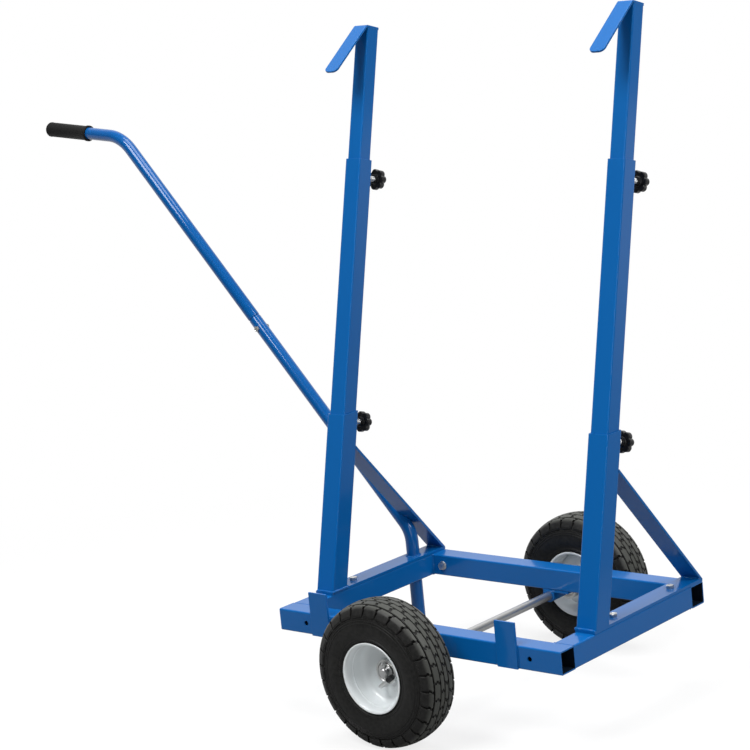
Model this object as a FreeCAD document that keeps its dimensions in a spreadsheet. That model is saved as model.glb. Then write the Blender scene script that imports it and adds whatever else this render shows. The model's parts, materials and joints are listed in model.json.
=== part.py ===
import FreeCAD, Part
import os
import re
import Sketcher
from FreeCAD import Placement, Rotation, Vector

# Two-wheeled panel trolley. A welded base of square tube rolls on one axle.
# Two telescopic posts lean back over it and end in folded hooks, and a bent
# tube rises from the left end as the pull handle and drops as the rest leg.
# X is the rolling direction with the handle at -X, the load side is -Y,
# the floor is z = 0 and the origin is under the middle of the outline.
# Millimetres and degrees.

SIZES = (
    ("rail_length", 620, "near and far rail, end to end"),
    ("frame_depth", 430, "front of the near rail to back of the far rail"),
    ("rail_side", 40, "square tube of the base"),
    ("rail_wall", 2.5, "wall of that tube"),
    ("tube_corner", 3, "outside corner of the square tubes"),
    ("spare_inset", 63, "rail end to the bolt hole near it"),
    ("bolt_diameter", 8, "shank of the frame bolts"),
    ("bolt_hole", 9, "hole for a frame bolt"),
    ("bolt_flats", 13, "hexagon of the frame bolts"),
    ("bolt_head", 5.5, "height of their heads and nuts"),
    ("stop_width", 42, "load stop, along the rail"),
    ("stop_height", 80, "load stop, upright"),
    ("stop_thick", 4, "load stop, sheet"),
    ("left_stop_inset", 99.5, "left rail end to the middle of the left stop"),
    ("right_stop_inset", 107, "right rail end to the middle of the right stop"),
    ("plate_thick", 5, "flat bars on the cross rails"),
    ("plate_setback", 99, "front of the near rail to the front of those bars"),
    ("front_bolt", 182, "front of the near rail to the front plate bolts"),
    ("rear_setback", 73, "back of the far rail to the rear bolt and the leg"),

    ("post_setback", 122, "front of the near rail to the foot of the post axis"),
    ("lean", 14, "posts from upright, degrees"),
    ("lower_side", 40, "outer sleeve of a post"),
    ("post_wall", 2, "wall of all post tubes"),
    ("slide_gap", 0.5, "between one post tube and the next, each side"),
    ("lower_height", 314, "outer sleeve, upright height"),
    ("middle_length", 600, "middle tube"),
    ("top_length", 400, "top tube"),
    ("left_middle_draw", 464, "left middle tube out of its sleeve"),
    ("right_middle_draw", 452, "right middle tube out of its sleeve"),
    ("left_top_draw", 240, "left top tube out of the middle tube"),
    ("right_top_draw", 258, "right top tube out of the middle tube"),
    ("hook_length", 120, "straight part of the hook flap"),
    ("hook_thick", 4, "hook sheet"),
    ("hook_fold", 51.5, "flap below the cap, degrees"),
    ("hook_bend", 3, "inside of the fold"),
    ("hook_corner", 10, "rounded tip corners"),
    ("brace_thick", 5, "flat bar braces"),
    ("brace_height", 263, "along the post to the top of the brace"),
    ("brace_relief", 0.8, "room for the handle beside the left brace"),

    ("stud_diameter", 10, "clamp screw"),
    ("stud_gap", 0.1, "screw in its nut, each side"),
    ("tip_gap", 0.3, "screw tip to the tube it clamps"),
    ("nut_flats", 17, "welded nut"),
    ("nut_height", 8, "welded nut"),
    ("knob_stand", 25, "sleeve to the front of the knob"),
    ("knob_diameter", 39, "over the lobes"),
    ("knob_thick", 12, "knob grip"),
    ("knob_lobes", 7, "lobes of a knob"),
    ("lobe_diameter", 17, "one lobe"),
    ("boss_diameter", 17, "collar in front of the knob"),
    ("boss_height", 5, "that collar"),
    ("lower_drop", 16, "sleeve top to the lower clamp screw"),
    ("upper_drop", 31, "middle tube top to the upper clamp screw"),

    ("handle_diameter", 25, "handle tube"),
    ("handle_wall", 2, "its wall"),
    ("handle_bend", 90, "its upper bend, at the middle of the tube"),
    ("leg_bend", 58, "its lower bend, at the middle of the tube"),
    ("bend_height", 47.9, "base bar to the corner of the lower bend"),
    ("handle_rise", 48.7, "sloping run from level, degrees"),
    ("handle_span", 1026, "sloping run, corner to corner"),
    ("handle_seam", 535, "lower corner to the joint of the two tubes"),
    ("grip_rise", 5.8, "top run from level, degrees"),
    ("grip_run", 218, "top corner to the end of the grip"),
    ("spigot_length", 60, "reduced end inside the lower tube"),
    ("spigot_gap", 0.2, "around the reduced end"),
    ("screw_diameter", 6, "bolt through the joint"),
    ("screw_flats", 10, "its hexagon"),
    ("screw_head", 4, "its head and nut"),
    ("screw_drop", 24, "joint to that bolt"),
    ("grip_length", 121, "rubber grip"),
    ("grip_diameter", 30, "rubber grip"),
    ("grip_ring", 33, "its inner ring"),
    ("grip_end", 4, "its closed end"),

    ("tyre_diameter", 256, "over the tread"),
    ("tyre_width", 84, "at the widest"),
    ("crown_drop", 5, "tread edge below the middle of the tread"),
    ("tread_half", 31, "middle to edge of the tread"),
    ("tread_depth", 4, "grooves"),
    ("groove_width", 3.5, "grooves"),
    ("groove_offset", 11, "middle to the rings of grooves"),
    ("tread_blocks", 26, "blocks in one row"),
    ("tyre_wall", 7.5, "carcass at the widest"),
    ("seat_diameter", 114, "rim under the tyre bead"),
    ("flange_diameter", 124, "rim edge"),
    ("rim_width", 78, "over the rim edges"),
    ("rim_wall", 2, "rim sheet"),
    ("lip_radius", 5, "flare of the rim edge"),
    ("bowl_radius", 12, "round of the dish"),
    ("bowl_floor", 6, "hub end to the floor of the dish"),
    ("hub_diameter", 43, "hub tube"),
    ("hub_length", 60, "hub tube"),
    ("hub_wall", 6, "hub tube between the bearings"),
    ("bearing_diameter", 35, "ball bearing"),
    ("bearing_width", 11, "ball bearing"),
    ("bearing_inset", 1, "hub end to the bearing"),
    ("turn_gap", 0.05, "bearing on the axle, each side"),
    ("seat_gap", 0.1, "fixed fits, each side"),
    ("end_gap", 0.3, "along the axle beside a wheel"),
    ("axle_diameter", 16, "axle"),
    ("axle_end", 10, "axle beyond the hub"),
    ("spacer_diameter", 24, "tube between bracket and bearing"),
    ("spacer_length", 17.7, "that tube"),
    ("washer_diameter", 30, "washer outside the bearing"),
    ("washer_thick", 2.5, "that washer"),
    ("pin_diameter", 4, "split pin through the axle"),
    ("pin_length", 22, "its straight part"),
    ("valve_diameter", 6.4, "valve stem"),
    ("valve_ring", 9.4, "foot of the valve stem"),
    ("valve_rise", 11, "hub end to the bent stem"),
    ("valve_left", 9, "axle middle to the elbow, level"),
    ("valve_down", 25, "axle middle to the elbow, down"),
    ("valve_turn", 35.5, "bent stem from level, degrees"),
    ("valve_run", 26, "elbow to the cap"),
    ("cap_diameter", 10, "valve cap"),
    ("cap_length", 16, "valve cap"),
    ("bracket_reach", 44, "axle middle to the end of its bracket"),
    ("bracket_thick", 4, "axle bracket sheet"),
    ("bracket_screw", 32, "axle middle to the bolt of a bracket"),
)

DERIVED = (
    ("axle_height", "tyre_diameter / 2"),
    ("rail_bottom", "axle_height + axle_diameter / 2 + bracket_thick"),
    ("rail_middle", "rail_bottom + rail_side / 2"),
    ("rail_top", "rail_bottom + rail_side"),
    ("deck", "rail_top + plate_thick"),
    ("front_face", "-frame_depth / 2"),
    ("cross_offset", "(rail_length - rail_side) / 2"),
    ("cross_length", "frame_depth - 2 * rail_side"),
    ("spare_offset", "rail_length / 2 - spare_inset"),
    ("bolt_depth", "front_face + front_bolt"),
    ("wheel_offset", "frame_depth / 2 + spacer_length + end_gap - bearing_inset + hub_length"),
    ("handle_corner", "deck + bend_height"),
    ("handle_reach", "cross_offset + handle_span * cos(handle_rise) + grip_run * cos(grip_rise)"),
    ("axle_place", "(handle_reach - rail_length / 2) / 2"),
    ("leg_place", "axle_place - cross_offset"),
    ("leg_depth", "frame_depth / 2 - rear_setback"),
    ("post_foot", "front_face + post_setback"),
    ("lower_length", "lower_height / cos(lean)"),
    ("middle_side", "lower_side - 2 * post_wall - 2 * slide_gap"),
    ("top_side", "middle_side - 2 * post_wall - 2 * slide_gap"),
    ("tyre_radius", "tyre_diameter / 2"),
    ("crown_radius", "(tread_half * tread_half + crown_drop * crown_drop) / 2 / crown_drop"),
    ("barrel_radius", "seat_diameter / 2 - rim_wall"),
    ("lip_middle", "barrel_radius + lip_radius"),
    ("lip_side", "rim_width / 2 - lip_radius"),
    ("bowl_side", "bowl_radius - bowl_floor"),
    ("bowl_middle", "barrel_radius - bowl_radius"),
    ("washer_side", "end_gap - bearing_inset"),
    ("pin_side", "washer_side + washer_thick + pin_diameter / 2 + seat_gap"),
)

doc = FreeCAD.newDocument("panel_trolley")
sheet = doc.addObject("Spreadsheet::Sheet", "Sizes")
for row, (name, value, meaning) in enumerate(SIZES, 1):
    sheet.set(f"A{row}", meaning)
    sheet.set(f"B{row}", str(value))
    sheet.setAlias(f"B{row}", name)
for row, (name, formula) in enumerate(DERIVED, len(SIZES) + 1):
    sheet.set(f"B{row}", "=" + formula)
    sheet.setAlias(f"B{row}", name)
doc.recompute()

NAMES = {entry[0] for entry in SIZES + DERIVED}
NODES = []


def sized(text):
    """Point every size named in a formula at its cell in the sheet."""
    return re.sub(r"[a-z_]+", lambda m: "Sizes." + m[0] if m[0] in NAMES else m[0], str(text))


def number(text):
    """The value of a formula, for first guesses in a sketch."""
    return float(sheet.evalExpression(sized(text)))


def bind(obj, prop, text):
    """Hold a property to a formula of named sizes."""
    obj.setExpression(prop, sized(text))


def place(obj, x, y, z, axis=None, angle=90):
    """Hold an object's position, and its turn about one axis, to the sheet."""
    if axis:
        obj.Placement = Placement(Vector(0, 0, 0), Rotation(Vector(*axis), 90))
        bind(obj, "Placement.Rotation.Angle", angle)
    for letter, value in zip("xyz", (x, y, z)):
        bind(obj, f"Placement.Base.{letter}", value)
    return obj


def on_post(obj, side, out, up, angle="lean", across="0"):
    """Seat an object in the frame of a leaning post, `out` to the rear and `up` along it."""
    return place(
        obj,
        f"axle_place + ({side}) * cross_offset + ({across})",
        f"post_foot + ({out}) * cos(lean) + ({up}) * sin(lean)",
        f"deck - ({out}) * sin(lean) + ({up}) * cos(lean)",
        (-1, 0, 0),
        angle,
    )


def on_wheel(obj, side, outward="0"):
    """Seat an object on the axle line with its own Z pointing away from the trolley."""
    return place(obj, "axle_place", f"({side}) * (wheel_offset + ({outward}))", "axle_height", (-side, 0, 0))


def node(obj, label):
    """Mark a finished piece under its file name."""
    obj.Label = label
    NODES.append(obj)
    return obj


def new_body(label):
    body = doc.addObject("PartDesign::Body", label)
    body.Label = label + " body"
    return body


def origin_part(body, role):
    return [part for part in body.Origin.OriginFeatures if part.Role == role][0]


def arc_between(start, end, radius):
    """The short arc from start to end, to the left for a positive radius."""
    chord = end.sub(start)
    left = Vector(-chord.y, chord.x, 0).normalize()
    half = chord.Length / 2
    reach = max(radius * radius - half * half, 0) ** 0.5
    centre = start.add(chord * 0.5).add(left * (reach if radius > 0 else -reach))
    return Part.Arc(start, centre.sub(left * radius), end)


def outline(body, role, *loops, closed=True):
    """A sketch on one of the body's planes with every corner held by the sheet.

    A corner is (u, v), or (u, v, radius) where the edge that leaves it is an arc.
    A ring is ("ring", diameter, u, v).
    """
    sketch = body.newObject("Sketcher::SketchObject", "Outline")
    sketch.AttachmentSupport = [(origin_part(body, role), "")]
    sketch.MapMode = "FlatFace"

    def fix(kind, spots, text):
        index = sketch.addConstraint(Sketcher.Constraint(kind, *spots, number(text)))
        bind(sketch, f"Constraints[{index}]", text)

    for loop in loops:
        first = sketch.GeometryCount
        if loop[0] == "ring":
            spot = Vector(number(loop[2]), number(loop[3]), 0)
            sketch.addGeometry(Part.Circle(spot, Vector(0, 0, 1), number(loop[1]) / 2))
            fix("DistanceX", (-1, 1, first, 3), loop[2])
            fix("DistanceY", (-1, 1, first, 3), loop[3])
            fix("Diameter", (first,), loop[1])
            continue
        spots = [Vector(number(corner[0]), number(corner[1]), 0) for corner in loop]
        count = len(loop) if closed else len(loop) - 1
        ends = []
        for k in range(count):
            start = spots[k]
            end = spots[(k + 1) % len(loop)]
            if len(loop[k]) == 3:
                sketch.addGeometry(arc_between(start, end, number(loop[k][2])))
                ends.append((1, 2) if number(loop[k][2]) > 0 else (2, 1))
            else:
                sketch.addGeometry(Part.LineSegment(start, end))
                ends.append((1, 2))
        for k in range(count if closed else count - 1):
            after = (k + 1) % count
            spot_pair = (first + k, ends[k][1], first + after, ends[after][0])
            sketch.addConstraint(Sketcher.Constraint("Coincident", *spot_pair))
        for k in range(len(loop)):
            edge = min(k, count - 1)
            end = ends[edge][0] if k < count else ends[edge][1]
            fix("DistanceX", (-1, 1, first + edge, end), loop[k][0])
            fix("DistanceY", (-1, 1, first + edge, end), loop[k][1])
            if len(loop[k]) == 3:
                fix("Radius", (first + k,), f"abs({loop[k][2]})")
    return sketch


def add(body, kind, sketch, **values):
    """Add a feature made from a sketch and make it the body's end."""
    feature = body.newObject("PartDesign::" + kind, kind)
    feature.Profile = sketch
    for prop, text in values.items():
        bind(feature, prop, text)
    body.Tip = feature
    return feature


def turned(label, *corners):
    """A body turned about its Z from corners (radius, height)."""
    body = new_body(label)
    sketch = outline(body, "XZ_Plane", corners)
    feature = add(body, "Revolution", sketch)
    feature.ReferenceAxis = (sketch, ["V_Axis"])
    return body


def around(body, feature, count):
    """Repeat a feature about the body's Z."""
    pattern = body.newObject("PartDesign::PolarPattern", "Around")
    pattern.Originals = [feature]
    pattern.Axis = (origin_part(body, "Z_Axis"), [""])
    pattern.Angle = 360
    bind(pattern, "Occurrences", count)
    body.Tip = pattern
    return pattern


def box(label, length, width, height):
    solid = doc.addObject("Part::Box", label)
    bind(solid, "Length", length)
    bind(solid, "Width", width)
    bind(solid, "Height", height)
    return solid


def rod(label, diameter, length):
    solid = doc.addObject("Part::Cylinder", label)
    bind(solid, "Radius", f"({diameter}) / 2")
    bind(solid, "Height", length)
    return solid


def prism(label, flats, height, sides=6):
    solid = doc.addObject("Part::Prism", label)
    solid.Polygon = sides
    bind(solid, "Circumradius", f"({flats}) / 2 / cos(180 / {sides})")
    bind(solid, "Height", height)
    return solid


def fuse(label, *solids):
    joined = doc.addObject("Part::MultiFuse", label)
    joined.Shapes = list(solids)
    return joined


def group(label, solids):
    """Separate solids kept together under one name."""
    gathered = doc.addObject("Part::Compound", label)
    gathered.Links = list(solids)
    return gathered


def cut(label, base, *tools):
    drilled = doc.addObject("Part::Cut", label)
    drilled.Base = base
    drilled.Tool = tools[0] if len(tools) == 1 else group(label + "_holes", tools)
    return drilled


def bolt(label, flats, head, diameter, length):
    """Hexagon head above z = 0, shank below it."""
    shank = rod(label + "_shank", diameter, length)
    bind(shank, "Placement.Base.z", f"-({length})")
    return fuse(label, prism(label + "_head", flats, head), shank)


def nut(label, flats, height, hole):
    return cut(label, prism(label + "_hex", flats, height), rod(label + "_bore", hole, height))


def square_loop(side, corner):
    """The outline of a square tube with rounded corners."""
    half = f"({side}) / 2"
    flat = f"({side}) / 2 - {corner}"
    return (
        (half, f"-({flat})"), (half, flat, corner),
        (flat, half), (f"-({flat})", half, corner),
        (f"-({half})", flat), (f"-({half})", f"-({flat})", corner),
        (f"-({flat})", f"-({half})"), (flat, f"-({half})", corner),
    )


def square_tube(label, side, wall, length):
    """A square tube that stands on z = 0."""
    body = new_body(label)
    bore = f"{side} - 2 * {wall}"
    section = outline(body, "XY_Plane", square_loop(side, "tube_corner"), square_loop(bore, "tube_corner / 4"))
    add(body, "Pad", section, Length=length)
    return body


# Base frame: two long rails with open ends and two cross rails between them.
# Bolt holes run through the long rails; the cross rails are drilled from above.
def rail(label, side):
    tube = square_tube(label, "rail_side", "rail_wall", "rail_length")
    middle = f"({side}) * (frame_depth - rail_side) / 2"
    place(tube, "axle_place - rail_length / 2", middle, "rail_middle", (0, 1, 0))
    holes = []
    for end in (-1, 1):
        hole = rod(f"{label}_hole", "bolt_hole", "rail_side + 2")
        x = f"axle_place + {end} * spare_offset"
        holes.append(place(hole, x, f"{middle} + rail_side / 2 + 1", "rail_middle", (1, 0, 0)))
    below = rod(f"{label}_bracket_hole", "bolt_hole", "rail_wall + 2")
    holes.append(place(below, "axle_place + bracket_screw", middle, "rail_bottom - 1"))
    return node(cut(label, tube, *holes), label)


rail("near_rail", -1)
rail("far_rail", 1)


def deck_hole(label, side, y, diameter, depth):
    """A hole down through a base bar and into the rail under it."""
    hole = rod(label, diameter, f"plate_thick + {depth} + 2")
    x = f"axle_place + ({side}) * cross_offset"
    return place(hole, x, y, f"rail_top - ({depth}) - 1")


HOLES = {
    -1: (deck_hole("left_front_hole", -1, "bolt_depth", "bolt_hole", "rail_wall"),
         deck_hole("leg_hole", -1, "leg_depth", "handle_diameter + 2 * spigot_gap", "rail_side")),
    1: (deck_hole("right_front_hole", 1, "bolt_depth", "bolt_hole", "rail_wall"),
        deck_hole("right_rear_hole", 1, "leg_depth", "bolt_hole", "rail_wall")),
}
SIDES = (("left", -1), ("right", 1))

for hand, side in SIDES:
    middle = f"axle_place + ({side}) * cross_offset"

    tube = square_tube(f"{hand}_cross_tube", "rail_side", "rail_wall", "cross_length")
    place(tube, middle, "-cross_length / 2", "rail_middle", (-1, 0, 0))
    node(cut(f"{hand}_cross_rail", tube, *HOLES[side]), f"{hand}_cross_rail")

    stop = box(f"{hand}_stop", "stop_width", "stop_thick", "stop_height")
    x = f"axle_place + ({side}) * (rail_length / 2 - {hand}_stop_inset) - stop_width / 2"
    node(place(stop, x, "front_face - stop_thick", "rail_bottom"), f"{hand}_stop")

    bar = box(f"{hand}_bar", "rail_side", "frame_depth - plate_setback", "plate_thick")
    place(bar, f"{middle} - rail_side / 2", "front_face + plate_setback", "rail_top")
    node(cut(f"{hand}_base_plate", bar, *HOLES[side]), f"{hand}_base_plate")


# Bolts: three hold the base bars, two sit in the far rail with their nuts behind it.
plate_bolts = []
for side, y in ((-1, "bolt_depth"), (1, "bolt_depth"), (1, "leg_depth")):
    screw = bolt("plate_bolt", "bolt_flats", "bolt_head", "bolt_diameter", "plate_thick + rail_wall + 8")
    x = f"axle_place + ({side}) * cross_offset"
    plate_bolts.append(place(screw, x, y, "deck"))
node(group("plate_bolts", plate_bolts), "plate_bolts")

far_bolts = []
far_nuts = []
for end in (-1, 1):
    x = f"axle_place + {end} * spare_offset"
    screw = bolt("far_bolt", "bolt_flats", "bolt_head", "bolt_diameter", "rail_side + bolt_head + 3")
    far_bolts.append(place(screw, x, "frame_depth / 2 - rail_side", "rail_middle", (1, 0, 0)))
    back = nut("far_nut", "bolt_flats", "bolt_head", "bolt_diameter + 2 * seat_gap")
    far_nuts.append(place(back, x, "frame_depth / 2", "rail_middle", (-1, 0, 0)))
node(group("far_rail_bolts", far_bolts), "far_rail_bolts")
node(group("far_rail_nuts", far_nuts), "far_rail_nuts")


# Leaning posts: outer sleeve cut level at both ends, middle tube, top tube.
# The sleeve is a level section carried up along the lean.
def stud_hole(label, side, face, up):
    """A clearance hole for a clamp screw in the rear wall of a post tube."""
    hole = rod(label, "stud_diameter + 1", "post_wall + 2")
    return on_post(hole, side, f"{face} / 2 - post_wall - 1", up, "lean + 90")


def lower_post(hand, side):
    label = f"{hand}_lower_post"
    body = new_body(label)
    half = "lower_side / 2"
    deep = "lower_side / 2 / cos(lean)"
    bore = "(lower_side / 2 - post_wall)"
    bore_deep = "(lower_side / 2 - post_wall) / cos(lean)"
    loops = []
    for u, v in ((half, deep), (bore, bore_deep)):
        loops.append(((u, f"-{v}"), (u, v), (f"-{u}", v), (f"-{u}", f"-{v}")))
    sleeve = add(body, "Pad", outline(body, "XY_Plane", *loops), Length="lower_height")
    sleeve.UseCustomVector = True
    sleeve.AlongSketchNormal = True
    bind(sleeve, "Direction.x", "0")
    bind(sleeve, "Direction.y", "sin(lean)")
    bind(sleeve, "Direction.z", "cos(lean)")
    doc.recompute()
    corners = [f"Edge{k}" for k, edge in enumerate(sleeve.Shape.Edges, 1)
               if abs(edge.tangentAt(edge.FirstParameter).z) > 0.5
               and abs(abs(edge.CenterOfMass.x) - number(half)) < 0.1]
    rounded = body.newObject("PartDesign::Fillet", "Rounded")
    rounded.Base = (sleeve, corners)
    bind(rounded, "Radius", "tube_corner")
    body.Tip = rounded
    place(body, f"axle_place + ({side}) * cross_offset", "post_foot", "deck")
    return node(cut(label, body, stud_hole(f"{label}_hole", side, "lower_side", "lower_length - lower_drop")), label)


def hook(hand, side, top):
    """One strip folded over the end of the top tube: cap, fold and flap."""
    label = f"{hand}_hook"
    body = new_body(label)
    edge = "top_side / 2"
    outer = "(hook_bend + hook_thick)"
    fold = [(f"-({edge}) - {r} * sin(hook_fold)", f"-hook_bend + {r} * cos(hook_fold)") for r in ("hook_bend", outer)]
    tip = [(f"{u} - hook_length * cos(hook_fold)", f"{v} - hook_length * sin(hook_fold)") for u, v in fold]
    strip = outline(body, "YZ_Plane", (
        (edge, "0"), (f"-({edge})", "0", "hook_bend"), fold[0], tip[0], tip[1],
        (*fold[1], f"-{outer}"), (f"-({edge})", "hook_thick"), (edge, "hook_thick"),
    ))
    sheet_metal = add(body, "Pad", strip, Length="top_side")
    doc.recompute()
    low = sheet_metal.Shape.BoundBox.YMin + number("hook_thick + 1")
    corners = [f"Edge{k}" for k, line in enumerate(sheet_metal.Shape.Edges, 1)
               if line.CenterOfMass.y < low and abs(line.tangentAt(line.FirstParameter).x) < 0.1
               and abs(line.Length - number("hook_thick")) < 0.01]
    rounded = body.newObject("PartDesign::Fillet", "Rounded")
    rounded.Base = (sheet_metal, corners)
    bind(rounded, "Radius", "hook_corner")
    body.Tip = rounded
    return node(on_post(body, side, "0", top, "lean", "-top_side / 2"), label)


def brace(hand, side):
    """Flat bar from the rear end of the base bar up to the back of the sleeve."""
    label = f"{hand}_brace"
    body = new_body(label)
    back = "lower_side / 2"
    foot = "frame_depth / 2"
    head_y = f"(post_foot + {back} * cos(lean) + brace_height * sin(lean))"
    head_z = f"(brace_height * cos(lean) - {back} * sin(lean))"
    length = f"sqrt(({foot} - {head_y}) * ({foot} - {head_y}) + {head_z} * {head_z})"
    rise = f"({head_z} / {length})"
    run = f"(({foot} - {head_y}) / {length})"
    under = f"(brace_thick / ({rise} * sin(lean) + {run} * cos(lean)))"
    section = outline(body, "YZ_Plane", (
        (foot, "0"), (head_y, head_z),
        (f"{head_y} - {under} * sin(lean)", f"{head_z} - {under} * cos(lean)"),
        (f"{foot} - brace_thick / {rise}", "0"),
    ))
    add(body, "Pad", section, Length="rail_side")
    place(body, f"axle_place + ({side}) * cross_offset - rail_side / 2", "0", "deck")
    if side > 0:
        return node(body, label)
    relief = rod(f"{label}_relief", "handle_diameter + 2 * brace_relief", "handle_seam / 2")
    place(relief, "leg_place", "leg_depth", "handle_corner", (0, -1, 0), "90 - handle_rise")
    return node(cut(label, body, relief), label)


def clamp(hand, side, step, face, inner, up):
    """Clamp screw: welded nut on the tube, stud through it, lobed knob on the stud."""
    knob_body = new_body(f"{hand}_{step}_knob")
    core = outline(knob_body, "XY_Plane", ("ring", "knob_diameter - lobe_diameter", "0", "0"))
    add(knob_body, "Pad", core, Length="knob_thick")
    spot = "(knob_diameter - lobe_diameter) / 2"
    lobe = add(knob_body, "Pad", outline(knob_body, "XY_Plane", ("ring", "lobe_diameter", spot, "0")),
               Length="knob_thick")
    around(knob_body, lobe, "knob_lobes")
    collar = outline(knob_body, "XY_Plane", ("ring", "boss_diameter", "0", "0"))
    add(knob_body, "Pad", collar, Length="boss_height").Reversed = True
    on_post(knob_body, side, f"{face} / 2 + knob_stand + boss_height", up, "lean + 90")
    screw_bore = rod(f"{hand}_{step}_bore", "stud_diameter + 2 * seat_gap", "boss_height + knob_thick / 2")
    on_post(screw_bore, side, f"{face} / 2 + knob_stand", up, "lean + 90")
    node(cut(f"{hand}_{step}_knob", knob_body, screw_bore), f"{hand}_{step}_knob")

    tip = f"({inner} / 2 + tip_gap)"
    length = f"{face} / 2 + knob_stand + boss_height + knob_thick / 2 - {tip}"
    stud = rod(f"{hand}_{step}_stud", "stud_diameter", length)
    node(on_post(stud, side, tip, up, "lean + 90"), f"{hand}_{step}_stud")

    weld_nut = nut(f"{hand}_{step}_nut", "nut_flats", "nut_height", "stud_diameter + 2 * stud_gap")
    return on_post(weld_nut, side, f"{face} / 2", up, "lean + 90")


lower_nuts = []
for hand, side in SIDES:
    middle_top = f"(lower_length + {hand}_middle_draw)"
    top_end = f"({middle_top} + {hand}_top_draw)"
    upper_screw = f"({middle_top} - upper_drop)"

    lower_post(hand, side)
    brace(hand, side)

    tube = square_tube(f"{hand}_middle_tube", "middle_side", "post_wall", "middle_length")
    on_post(tube, side, "0", f"{middle_top} - middle_length")
    hole = stud_hole(f"{hand}_middle_hole", side, "middle_side", upper_screw)
    node(cut(f"{hand}_middle_post", tube, hole), f"{hand}_middle_post")

    tube = square_tube(f"{hand}_top_tube", "top_side", "post_wall", "top_length")
    node(on_post(tube, side, "0", f"{top_end} - top_length"), f"{hand}_top_post")
    hook(hand, side, top_end)

    lower_nuts.append(clamp(hand, side, "lower", "lower_side", "middle_side", "(lower_length - lower_drop)"))
    node(clamp(hand, side, "upper", "middle_side", "top_side", upper_screw), f"{hand}_weld_nut")
node(group("lower_weld_nuts", lower_nuts), "lower_weld_nuts")


# Handle: two bent tubes. The upper one necks down and plugs into the lower one,
# with a bolt through both. The lower one runs on through the base as the leg.
def bent_tube(label, bend, first, turn, second):
    """A round tube up from z = 0, one bend towards -X, and a straight end."""
    body = new_body(label)
    tangent = f"{bend} * tan(({turn}) / 2)"
    path = outline(body, "XZ_Plane", (
        ("0", "0"),
        ("0", f"{first} - {tangent}", bend),
        (f"-{tangent} * sin({turn})", f"{first} + {tangent} * cos({turn})"),
        (f"-({second}) * sin({turn})", f"{first} + ({second}) * cos({turn})"),
    ), closed=False)
    ring = outline(body, "XY_Plane", ("ring", "handle_diameter", "0", "0"),
                   ("ring", "handle_diameter - 2 * handle_wall", "0", "0"))
    pipe = add(body, "AdditivePipe", ring)
    pipe.Spine = (path, ["Edge1", "Edge2", "Edge3"])
    return body


def along_handle(obj, distance, outward, axis, angle):
    """Seat an object on the sloping run, measured from the lower corner."""
    x = f"leg_place - ({distance}) * cos(handle_rise)"
    z = f"handle_corner + ({distance}) * sin(handle_rise)"
    return place(obj, x, f"leg_depth + ({outward})", z, axis, angle)


lower_tube = bent_tube("handle_lower_tube", "leg_bend", "handle_corner", "90 - handle_rise", "handle_seam")
place(lower_tube, "leg_place", "leg_depth", "0")

upper_tube = bent_tube("handle_upper_tube", "handle_bend", "(handle_span - handle_seam)",
                       "handle_rise - grip_rise", "grip_run - grip_end")
spigot = "(handle_diameter / 2 - handle_wall - spigot_gap)"
wall_middle = "(handle_diameter - handle_wall) / 2"
neck = outline(upper_tube, "XZ_Plane", (
    (f"{spigot} - handle_wall", "-spigot_length"), (spigot, "-spigot_length"), (spigot, "0"),
    (wall_middle, "0"), (wall_middle, "handle_diameter / 3"), (f"{spigot} - handle_wall", "handle_diameter / 3"),
))
add(upper_tube, "Revolution", neck).ReferenceAxis = (neck, ["V_Axis"])
along_handle(upper_tube, "handle_seam", "0", (0, -1, 0), "90 - handle_rise")

screw_hole = rod("handle_screw_hole", "screw_diameter + 2 * spigot_gap", "handle_diameter + 2")
along_handle(screw_hole, "handle_seam - screw_drop", "handle_diameter / 2 + 1", (1, 0, 0), "90")
node(cut("handle_lower", lower_tube, screw_hole), "handle_lower")
node(cut("handle_upper", upper_tube, screw_hole), "handle_upper")

screw = bolt("handle_bolt", "screw_flats", "screw_head", "screw_diameter", "handle_diameter + screw_head + 2")
along_handle(screw, "handle_seam - screw_drop", "-handle_diameter / 2", (1, 0, 0), "90")
node(screw, "handle_bolt")
back = nut("handle_nut", "screw_flats", "screw_head", "screw_diameter + 2 * seat_gap")
node(along_handle(back, "handle_seam - screw_drop", "handle_diameter / 2", (-1, 0, 0), "90"), "handle_nut")

# Rubber grip: a sleeve with a closed round end and a raised ring towards the bend.
bore = "(handle_diameter / 2 + seat_gap)"
grip = turned(
    "handle_grip", (bore, "0"), ("grip_ring / 2", "0"), ("grip_ring / 2", "6"), ("grip_diameter / 2", "8"),
    ("grip_diameter / 2", "grip_length - 6", "6"), ("grip_diameter / 2 - 6", "grip_length"),
    ("0", "grip_length"), ("0", "grip_length - grip_end + seat_gap"), (bore, "grip_length - grip_end + seat_gap"),
)
x = "leg_place - handle_span * cos(handle_rise) - (grip_run - grip_length) * cos(grip_rise)"
z = "handle_corner + handle_span * sin(handle_rise) + (grip_run - grip_length) * sin(grip_rise)"
node(place(grip, x, "leg_depth", z, (0, -1, 0), "90 - grip_rise"), "handle_grip")


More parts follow.
